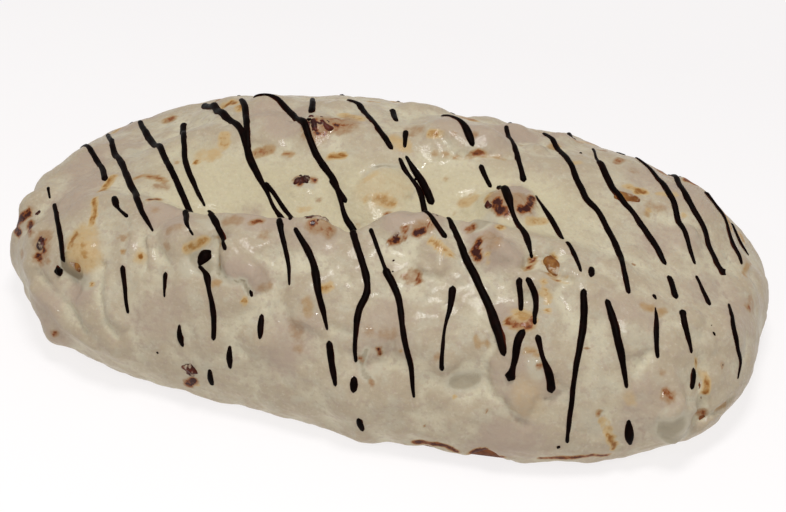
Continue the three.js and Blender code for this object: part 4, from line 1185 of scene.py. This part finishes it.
class STOLLEN_OT_icing(bpy.types.Operator):
    """Pour the icing: a thin coat over the whole loaf, down to its wavy foot"""

    bl_idname = "stollen.icing"
    bl_label = "Icing"

    def execute(self, context):
        settings = context.scene.stollen.icing
        box, faces, ring = half_box(*COAT_GRID)
        turn, share = turns_and_tilts(box)
        foot = icing_foot(turn)
        points = coat_points(turn, share * lowest_tilt(foot), 0)
        normals = normals_of(points, faces)
        rough = BVHTree.FromPolygons(points.tolist(), faces.tolist())
        pooled = self.pooled(points)
        height = self.fine_relief(points, pooled, foot, rough, settings)
        points += normals * height[:, None]
        stains = self.stains(points, rough)
        thin = self.thinness(points, faces)

        outer = len(points)
        all_points, all_faces = self.close_coat(points, faces, ring, turn[ring])
        piece = new_piece("icing_coat", all_points, all_faces, icing_material(settings))
        stains.update(pooled=pooled, thin=thin)
        for name, values in stains.items():
            layer = piece.data.attributes.new(name, "FLOAT", "POINT")
            padded = np.zeros(len(all_points), np.float32)
            padded[:outer] = values
            layer.data.foreach_set("value", padded)
        finish_piece(piece, ["icing"])
        return {"FINISHED"}

    @staticmethod
    def pooled(points):
        """How far the icing has pooled, thick and smooth: in the valley behind the lip."""
        x, y, z = points.T
        past = y - lip_line(x)
        return stretch(past, POOL_PAST) * stretch(x, POOL_X) * ramp(z, *POOL_Z)

    @staticmethod
    def fine_relief(points, pooled, foot, rough, settings):
        """The relief too fine for the solids: waves, runs, and the bead along the foot."""
        wide, fine = WAVE_SIZES
        waves = noise_at(points, wide, 3.0) + FINE_WAVES * noise_at(points, fine, 9.0)
        height = settings.unevenness / MM * waves * (1 - POOLED_LOSS[0] * pooled)
        flow = points * [CREASE_STRETCH, 1, 1]
        creases = bell(noise_at(flow, CREASE_SIZE, 14.0, 2) / CREASE_WIDTH)
        patches = ease(0.5 + 1.6 * noise_at(points, CREASE_PATCH, 4.0))
        height -= settings.creases / MM * creases * patches * (1 - POOLED_LOSS[1] * pooled)
        for rise, radius, *stations in RUNS:
            path = [ray_place(rough, x, roll)[0] for x, roll in stations]
            height += rise * bell(distance_to_path(points, path) / radius)
        bead_height, bead_radius = BEAD_SIZE
        for x, roll in BEADS:
            reach = distance_to_path(points, [ray_place(rough, x, roll)[0]])
            height += bead_height * bell(reach / bead_radius)
        wander = 0.6 + 0.5 * noise_at(points, 9, 6.0)
        above = (points[:, 2] - foot) / FOOT_BEAD_REACH
        height += settings.bead / MM * bell(above) * wander
        return height

    @staticmethod
    def thinness(points, faces):
        """1 on the tops of lumps, where the icing ran off, down to 0 in hollows."""
        smooth = points.copy()
        edges = np.concatenate([faces[:, [i, (i + 1) % 4]] for i in range(4)])
        count = np.bincount(edges.ravel(), minlength=len(points))
        for _ in range(THIN_ROUNDS):
            total = np.zeros_like(smooth)
            np.add.at(total, edges[:, 0], smooth[edges[:, 1]])
            np.add.at(total, edges[:, 1], smooth[edges[:, 0]])
            smooth = total / count[:, None]
        height = np.einsum("ij,ij->i", points - smooth, normals_of(smooth, faces))
        return ease(0.5 + height / THIN_HEIGHT)

    @staticmethod
    def stains(points, rough):
        """How strongly each kind of filling shows through at each point, and how much painted shade
        lies in dents and creases.
        """
        shown = {kind: np.zeros(len(points)) for kind in STAINS}
        ragged = sum(share * noise_at(points, size, seed) for share, size, seed in RAGGED_EDGE)
        wavy = sum(share * noise_at(points, size, seed) for share, size, seed in WAVY_EDGE)

        def stain(kind, radius, strength, stations):
            path = [ray_place(rough, x, roll)[0] for x, roll in stations]
            edge = wavy if kind == "shade" or radius >= WIDE_STAIN else ragged
            reach = distance_to_path(points, path) / radius + edge
            fallen = strength * ease(STAIN_FULL - STAIN_FALL * reach)
            shown[kind] = np.maximum(shown[kind], fallen)

        for kind, spots in STAINS.items():
            for radius, strength, *stations in spots:
                stain(kind, radius, strength, stations)
        draw = random_from(seed=61)
        for kind, (count, size, least) in BACK_STAINS.items():
            for _ in range(count):
                x = (2 * next(draw) - 1) * BACK_STAIN_X
                roll = pick(draw, *BACK_STAIN_ROLL)
                radius = size * pick(draw, *BACK_STAIN_RADIUS)
                strength = least + BACK_STAIN_GAIN * next(draw) ** 2
                end = (pick(draw, x, BACK_STAIN_RUN), pick(draw, roll, BACK_STAIN_RUN))
                stain(kind, radius, strength, [(x, roll), end])
        return shown

    @staticmethod
    def close_coat(points, faces, ring, turn):
        """Rounds the coat's lower edge in to the dough and lines the coat inside."""
        count = len(ring)
        lowest = lowest_tilt(icing_foot(turn))
        inner_edge = coat_points(turn, lowest, RIM_DEPTH)
        rows = []
        closing = [faces]
        upper = ring
        start = len(points)
        for row in range(1, RIM_ROWS + 1):
            angle = math.pi * row / RIM_ROWS
            share = (1 - math.cos(angle)) / 2
            edge = points[ring] * (1 - share) + inner_edge * share
            edge[:, 2] -= RIM_DROP * math.sin(angle)
            rows.append(edge)
            lower = start + np.arange(count)
            closing.append(np.column_stack([lower, np.roll(lower, -1), np.roll(upper, -1), upper]))
            upper = lower
            start += count
        box, lining_faces, lining_ring = half_box(*(size // LINING_SHARE for size in COAT_GRID))
        lining_turn, lining_share = turns_and_tilts(box)
        lining_lowest = lowest_tilt(icing_foot(lining_turn))
        lining = coat_points(lining_turn, lining_share * lining_lowest, LINING_DEPTH)
        quads = np.concatenate(closing + [lining_faces[:, ::-1] + start]).tolist()
        seam = []
        for i, near in enumerate(upper.tolist()):
            following = int(upper[(i + 1) % count])
            held = start + int(lining_ring[i // LINING_SHARE])
            seam.append([held, following, near])
            if (i + 1) % LINING_SHARE == 0:
                ahead = start + int(lining_ring[(i // LINING_SHARE + 1) % len(lining_ring)])
                seam.append([held, ahead, following])
        return np.concatenate([points, *rows, lining]), quads + seam


# ---------------------------------------------------------------- fruit


def ball(levels):
    """The points and faces of a ball of radius 1."""
    made = bmesh.new()
    bmesh.ops.create_icosphere(made, subdivisions=levels, radius=1)
    points = np.array([v.co for v in made.verts])
    faces = [[v.index for v in face.verts] for face in made.faces]
    made.free()
    return points, faces


def fruit_piece(name, nodes, shape_of, levels, sink, material):
    """All fruit of one kind, each shaped at the seat of its plain solid and pressed in."""
    unit, unit_faces = ball(levels)
    points = []
    faces = []
    for number, node in enumerate(nodes):
        middle, axes, half = fruit_seat(node)
        start = number * len(unit)
        inward = -axes[2] if axes[2] @ middle > 0 else axes[2]
        points.append(middle + sink * inward + shape_of(unit, half, number) @ axes)
        faces += [[start + i for i in face] for face in unit_faces]
    return new_piece(name, np.concatenate(points), faces, material)


class STOLLEN_OT_raisins(bpy.types.Operator):
    """Press the raisins in: wrinkled, with their backs out of the icing"""

    bl_idname = "stollen.raisins"
    bl_label = "Raisins"

    def execute(self, context):
        settings = context.scene.stollen.fruit

        def wrinkled(unit, half, number):
            wide = abs(noise_at(unit * half, WRINKLE_SIZES[0], 11.0 * number))
            narrow = abs(noise_at(unit * half, WRINKLE_SIZES[1], 7.0 * number))
            folds = wide + NARROW_WRINKLES * narrow
            swelling = 1 + settings.wrinkle * (folds - MEAN_WRINKLE)
            return unit * (half + settings.growth / MM) * swelling[:, None]

        nodes = nodes_named("raisin_")
        material = fruit_material(
            "soaked raisin skin", settings.raisin, settings.raisin_glow, settings.film,
            film_share=0.5, gloss=0.45,
        )
        sink = settings.sink / MM
        piece = fruit_piece("raisins", nodes, wrinkled, RAISIN_LEVELS, sink, material)
        finish_piece(piece, nodes)
        return {"FINISHED"}


class STOLLEN_OT_peel(bpy.types.Operator):
    """Press the candied peel in: amber cubes with soft corners"""

    bl_idname = "stollen.peel"
    bl_label = "Candied peel"

    def execute(self, context):
        settings = context.scene.stollen.fruit

        def chopped(unit, half, number):
            squared = np.sign(unit) * abs(unit) ** PEEL_CORNER
            squared /= np.max(abs(squared), axis=1).clip(PEEL_CORNER)[:, None]
            dents = 1 + PEEL_DENTS * noise_at(unit * half, 2.0, 5.0 * number)
            return squared * PEEL_FILL * (half + settings.growth / MM) * dents[:, None]

        nodes = nodes_named("peel_")
        material = fruit_material(
            "candied orange peel", settings.peel, settings.peel_glow, settings.film,
            film_share=0.47, gloss=0.4,
        )
        sink = PEEL_SINK * settings.sink / MM
        piece = fruit_piece("candied_peel", nodes, chopped, PEEL_LEVELS, sink, material)
        finish_piece(piece, nodes)
        return {"FINISHED"}


# ---------------------------------------------------------------- chocolate


def stroke_tree():
    """Geometry Nodes that give each line of points its body of chocolate."""
    tree = bpy.data.node_groups.new("Chocolate strokes", "GeometryNodeTree")
    inputs = {"Geometry": "Geometry", "Sides": "Int", "Sink": "Float", "Chocolate": "Material"}
    for name, kind in inputs.items():
        tree.interface.new_socket(name, in_out="INPUT", socket_type="NodeSocket" + kind)
    tree.interface.new_socket("Geometry", in_out="OUTPUT", socket_type="NodeSocketGeometry")

    def attribute(name, kind):
        node = add_node(tree, "GeometryNodeInputNamedAttribute", {"Name": name}, data_type=kind)
        return node.outputs["Attribute"]

    given = add_node(tree, "NodeGroupInput").outputs
    width = attribute("half_width", "FLOAT")
    outward = attribute("outward", "FLOAT_VECTOR")
    depth = combine(tree, "MULTIPLY", width, given["Sink"])
    inward = combine(tree, "MULTIPLY", depth, -1.0)
    offset = add_node(
        tree, "ShaderNodeVectorMath", {0: outward, "Scale": inward}, operation="SCALE",
    ).outputs[0]
    sunk = add_node(tree, "GeometryNodeSetPosition", {
        "Geometry": given["Geometry"], "Offset": offset,
    })
    line = add_node(tree, "GeometryNodeMeshToCurve", {"Mesh": sunk.outputs[0]})
    circle = add_node(tree, "GeometryNodeCurvePrimitiveCircle", {
        "Resolution": given["Sides"], "Radius": 1.0,
    })
    body = add_node(tree, "GeometryNodeCurveToMesh", {
        "Curve": line.outputs[0], "Profile Curve": circle.outputs[0], "Scale": width, "Fill Caps": True,
    })
    smooth = add_node(tree, "GeometryNodeSetShadeSmooth", {"Geometry": body.outputs[0]})
    real = add_node(tree, "GeometryNodeRealizeInstances", {"Geometry": smooth.outputs[0]})
    coloured = add_node(tree, "GeometryNodeSetMaterial", {
        "Geometry": real.outputs[0], "Material": given["Chocolate"],
    })
    add_node(tree, "NodeGroupOutput", {"Geometry": coloured.outputs[0]})
    return tree


def input_identifier(tree, name):
    """The identifier by which a modifier knows a tree's input."""
    return next(item.identifier for item in tree.interface.items_tree
                if item.item_type == "SOCKET" and item.in_out == "INPUT" and item.name == name)


def baked(source, name):
    """A plain mesh object with the result of the source's modifiers."""
    evaluated = source.evaluated_get(bpy.context.evaluated_depsgraph_get())
    mesh = bpy.data.meshes.new_from_object(evaluated)
    mesh.name = name
    bpy.data.objects.remove(source)
    return new_object(name, mesh)


def smooth_path(values, share):
    """Points along a smooth curve through rows of values, at shares of its length."""
    last = len(values) - 1
    ends = np.vstack([2 * values[0] - values[1], values, 2 * values[-1] - values[-2]])
    spot = np.clip(share * last, 0, last - 1e-9)
    step = spot.astype(int)
    t = (spot - step)[:, None]
    a, b, c, d = (ends[step + i] for i in range(4))
    square = 2 * a - 5 * b + 4 * c - d
    cube = 3 * b - a - 3 * c + d
    return 0.5 * (2 * b + (c - a) * t + square * t ** 2 + cube * t ** 3)


def stroke_spots(length, first_radius, last_radius):
    """Places along a stroke, closest at its round ends, and the share of its width at each."""
    cap = np.array(CAP_SHARES)
    inner_run = length - first_radius - last_radius
    inner = np.empty(0)
    if inner_run > 0:
        inner = np.linspace(0, 1, max(2, round(inner_run / STROKE_STEP)))[1:-1]
    spots = np.concatenate([
        cap * min(first_radius, length / 2),
        first_radius + inner * inner_run,
        length - cap[::-1] * min(last_radius, length / 2),
    ])
    spots = np.unique(spots.round(4))
    near_end = np.minimum(spots / first_radius, (length - spots) / last_radius)
    rounding = np.sqrt(np.clip(1 - (1 - np.clip(near_end, 0, 1)) ** 2, LEAST_END, 1))
    return spots, rounding


def back_strokes():
    """The passes that come down the far side, each broken by seeded gaps."""
    draw = random_from(seed=23)
    (first_least, first_more), (second_least, second_more) = BACK_RUNS
    strokes = []
    for crossing in CREST_CROSSINGS:
        start = pick(draw, CREST_ROLL, BACK_START)
        end = pick(draw, start + first_least, first_more)
        following = end + BACK_GAP
        low = pick(draw, following + second_least, second_more)
        lean = BACK_LEAN * pick(draw, *BACK_LEANS)
        spots = []
        for roll in (start, (start + end) / 2, end, following, (following + low) / 2, low):
            x = crossing - lean * (roll - CREST_ROLL) + BACK_SWAY * (next(draw) - 0.5)
            spots.append((x, min(roll, FOOT_ROLL), pick(draw, *BACK_WIDTHS)))
        strokes.append((BACK_WIDTH, *spots[:3]))
        if next(draw) < BACK_SECOND:
            strokes.append((BACK_WIDTH, *spots[3:]))
    return strokes


class STOLLEN_OT_chocolate(bpy.types.Operator):
    """Drizzle the chocolate: thin strokes across the loaf, over icing and fruit"""

    bl_idname = "stollen.chocolate"
    bl_label = "Chocolate"

    def execute(self, context):
        settings = context.scene.stollen.chocolate
        surface = piece_tree(["icing_coat", "raisins", "candied_peel"])
        points = []
        edges = []
        widths = []
        normals = []
        for number, stroke in enumerate(STROKES + back_strokes()):
            places, outward, width = self.lay(surface, stroke, number)
            start = len(points)
            points += [(place + CENTRING) * MM for place in places]
            edges += [(start + i, start + i + 1) for i in range(len(places) - 1)]
            widths += (width / 2 * MM).tolist()
            normals += outward.ravel().tolist()
        mesh = bpy.data.meshes.new("stroke_lines")
        mesh.from_pydata(points, edges, [])
        mesh.attributes.new("half_width", "FLOAT", "POINT").data.foreach_set("value", widths)
        mesh.attributes.new("outward", "FLOAT_VECTOR", "POINT").data.foreach_set("vector", normals)
        lines = new_object("stroke_lines", mesh)
        modifier = lines.modifiers.new("Strokes", "NODES")
        modifier.node_group = stroke_tree()
        inputs = {
            "Sides": settings.sides, "Sink": settings.sink, "Chocolate": chocolate_material(settings),
        }
        for name, value in inputs.items():
            modifier[input_identifier(modifier.node_group, name)] = value
        piece = baked(lines, "chocolate_strokes")
        finish_piece(piece, ["icing"])
        return {"FINISHED"}

    @staticmethod
    def lay(surface, stroke, number):
        """One stroke's points on the surface, with their normals and widths."""
        width, *stations = stroke
        rows = np.array([(s[0], s[1], s[2] if len(s) > 2 else width) for s in stations], float)
        shares = np.linspace(0, 1, TRIAL_POINTS * len(rows))
        rough = smooth_path(rows, shares)
        on_coat = np.array([ray_place(surface, x, roll)[0] for x, roll, _ in rough])
        steps = np.linalg.norm(np.diff(on_coat, axis=0), axis=1)
        run = np.concatenate([[0], np.cumsum(steps)])
        spots, rounding = stroke_spots(run[-1], rough[0, 2] / 2, rough[-1, 2] / 2)
        line = smooth_path(rows, np.interp(spots, run, shares))
        noise_row = np.full(len(spots), NOISE_ROW * number)
        along = np.column_stack([spots, noise_row, np.zeros(len(spots))])
        line[:, 0] += STROKE_KINK * noise_at(along, 4.5, 2.0)
        found = [ray_place(surface, x, roll) for x, roll, _ in line]
        places = np.array([place for place, _ in found])
        outward = np.array([normal for _, normal in found])
        for _ in range(STROKE_ROUNDS):
            places[1:-1] = (places[:-2] + 2 * places[1:-1] + places[2:]) / 4
            outward[1:-1] = (outward[:-2] + 2 * outward[1:-1] + outward[2:]) / 4
        wander = 1 + WIDTH_WANDER * noise_at(along, 3.0, 8.0)
        return places, outward, SLIMMING * line[:, 2] * rounding * wander


# ---------------------------------------------------------------- stage


class STOLLEN_OT_stage(bpy.types.Operator):
    """Set the stage: a pale table that glows with painted light, soft light and the photo's view"""

    bl_idname = "stollen.stage"
    bl_label = "Stage"

    def execute(self, context):
        settings = context.scene.stollen.stage
        self.lay_floor(settings)
        self.light(context, settings)
        self.aim_camera(context)
        return {"FINISHED"}

    @staticmethod
    def lay_floor(settings):
        """A wide pale table just under the loaf, which glows with its own light, more strongly in
        front: painted light that keeps the table bright and the loaf's shadow on it faint.
        """
        mesh = bpy.data.meshes.new("table")
        signs = [(-1, -1), (1, -1), (1, 1), (-1, 1)]
        corners = [(x * TABLE_HALF, y * TABLE_HALF, TABLE_LEVEL) for x, y in signs]
        mesh.from_pydata(corners, [], [(0, 1, 2, 3)])
        material, tree, shader = new_material("lit opal glass, matt")
        place = add_node(tree, "ShaderNodeTexCoord").outputs["Object"]
        depth = add_node(tree, "ShaderNodeSeparateXYZ", {0: place}).outputs["Y"]
        brightest = settings.glow * NEAR_GLOW
        fill_inputs(tree, shader, {
            "Base Color": list(settings.floor), "Roughness": 0.9, "Specular IOR Level": 0.0,
            # The table's glow is painted light, stronger in front of the loaf.
            "Emission Color": list(settings.sky),
            "Emission Strength": remap(tree, depth, *GLOW_DEPTHS, brightest, settings.glow, "LINEAR"),
        })
        mesh.materials.append(material)
        table = new_object("table", mesh)

    @staticmethod
    def light(context, settings):
        """Even light from all round, one large soft lamp and small ones for the glints."""
        world = bpy.data.worlds.new("soft room")
        world.use_nodes = True
        background = world.node_tree.nodes["Background"]
        background.inputs["Color"].default_value = list(settings.sky)
        background.inputs["Strength"].default_value = settings.sky_strength
        context.scene.world = world
        for name, share, width, place in LAMPS:
            lamp = bpy.data.lights.new(name, "AREA")
            lamp.shape = "DISK"
            lamp.size = width
            lamp.energy = settings.key_power * share
            held = new_object(name, lamp)
            held.location = place
            held.rotation_euler = (-Vector(place)).to_track_quat("-Z", "Y").to_euler()
        context.scene.view_settings.view_transform = "Standard"

    @staticmethod
    def aim_camera(context):
        """The camera where the photo's was."""
        turn = math.radians(VIEW_TURN)
        rise = math.radians(VIEW_RISE)
        level = math.cos(rise)
        back = Vector((math.sin(turn) * level, -math.cos(turn) * level, math.sin(rise)))
        right = Vector((math.cos(turn), math.sin(turn), 0))
        up = back.cross(right)
        aim = Vector((0, 0, AIM_HEIGHT)) - AIM_DOWN * up + AIM_RIGHT * right + Vector(CENTRING)
        lens = bpy.data.cameras.new("camera")
        lens.sensor_width = SENSOR_WIDTH
        lens.lens = VIEW_SCALE * VIEW_DISTANCE * SENSOR_WIDTH / IMAGE_WIDTH
        lens.clip_start = 0.01
        camera = new_object("camera", lens)
        axes = Matrix((right, up, back)).transposed().to_4x4()
        camera.matrix_world = Matrix.Translation((aim + VIEW_DISTANCE * back) * MM) @ axes
        context.scene.camera = camera


class VIEW3D_PT_stollen(bpy.types.Panel):
    """The stollen's pieces, in the order in which they are made"""

    bl_label = "Stollen"
    bl_idname = "VIEW3D_PT_stollen"
    bl_space_type = "VIEW_3D"
    bl_region_type = "UI"
    bl_category = "Stollen"

    def draw(self, context):
        for operator in OPERATORS:
            self.layout.operator(operator.bl_idname)


OPERATORS = (
    STOLLEN_OT_stage, STOLLEN_OT_dough, STOLLEN_OT_icing, STOLLEN_OT_raisins, STOLLEN_OT_peel,
    STOLLEN_OT_chocolate,
)
CLASSES = (
    IcingSettings, DoughSettings, FruitSettings, ChocolateSettings, StageSettings, StollenSettings,
    *OPERATORS, VIEW3D_PT_stollen,
)


def register():
    for item in CLASSES:
        bpy.utils.register_class(item)
    bpy.types.Scene.stollen = bpy.props.PointerProperty(type=StollenSettings)


def unregister():
    del bpy.types.Scene.stollen
    for item in reversed(CLASSES):
        bpy.utils.unregister_class(item)


def main():
    register()
    bpy.ops.stollen.stage()
    bpy.ops.stollen.dough()
    bpy.ops.stollen.icing()
    bpy.ops.stollen.raisins()
    bpy.ops.stollen.peel()
    bpy.ops.stollen.chocolate()


if __name__ == "__main__":
    main()
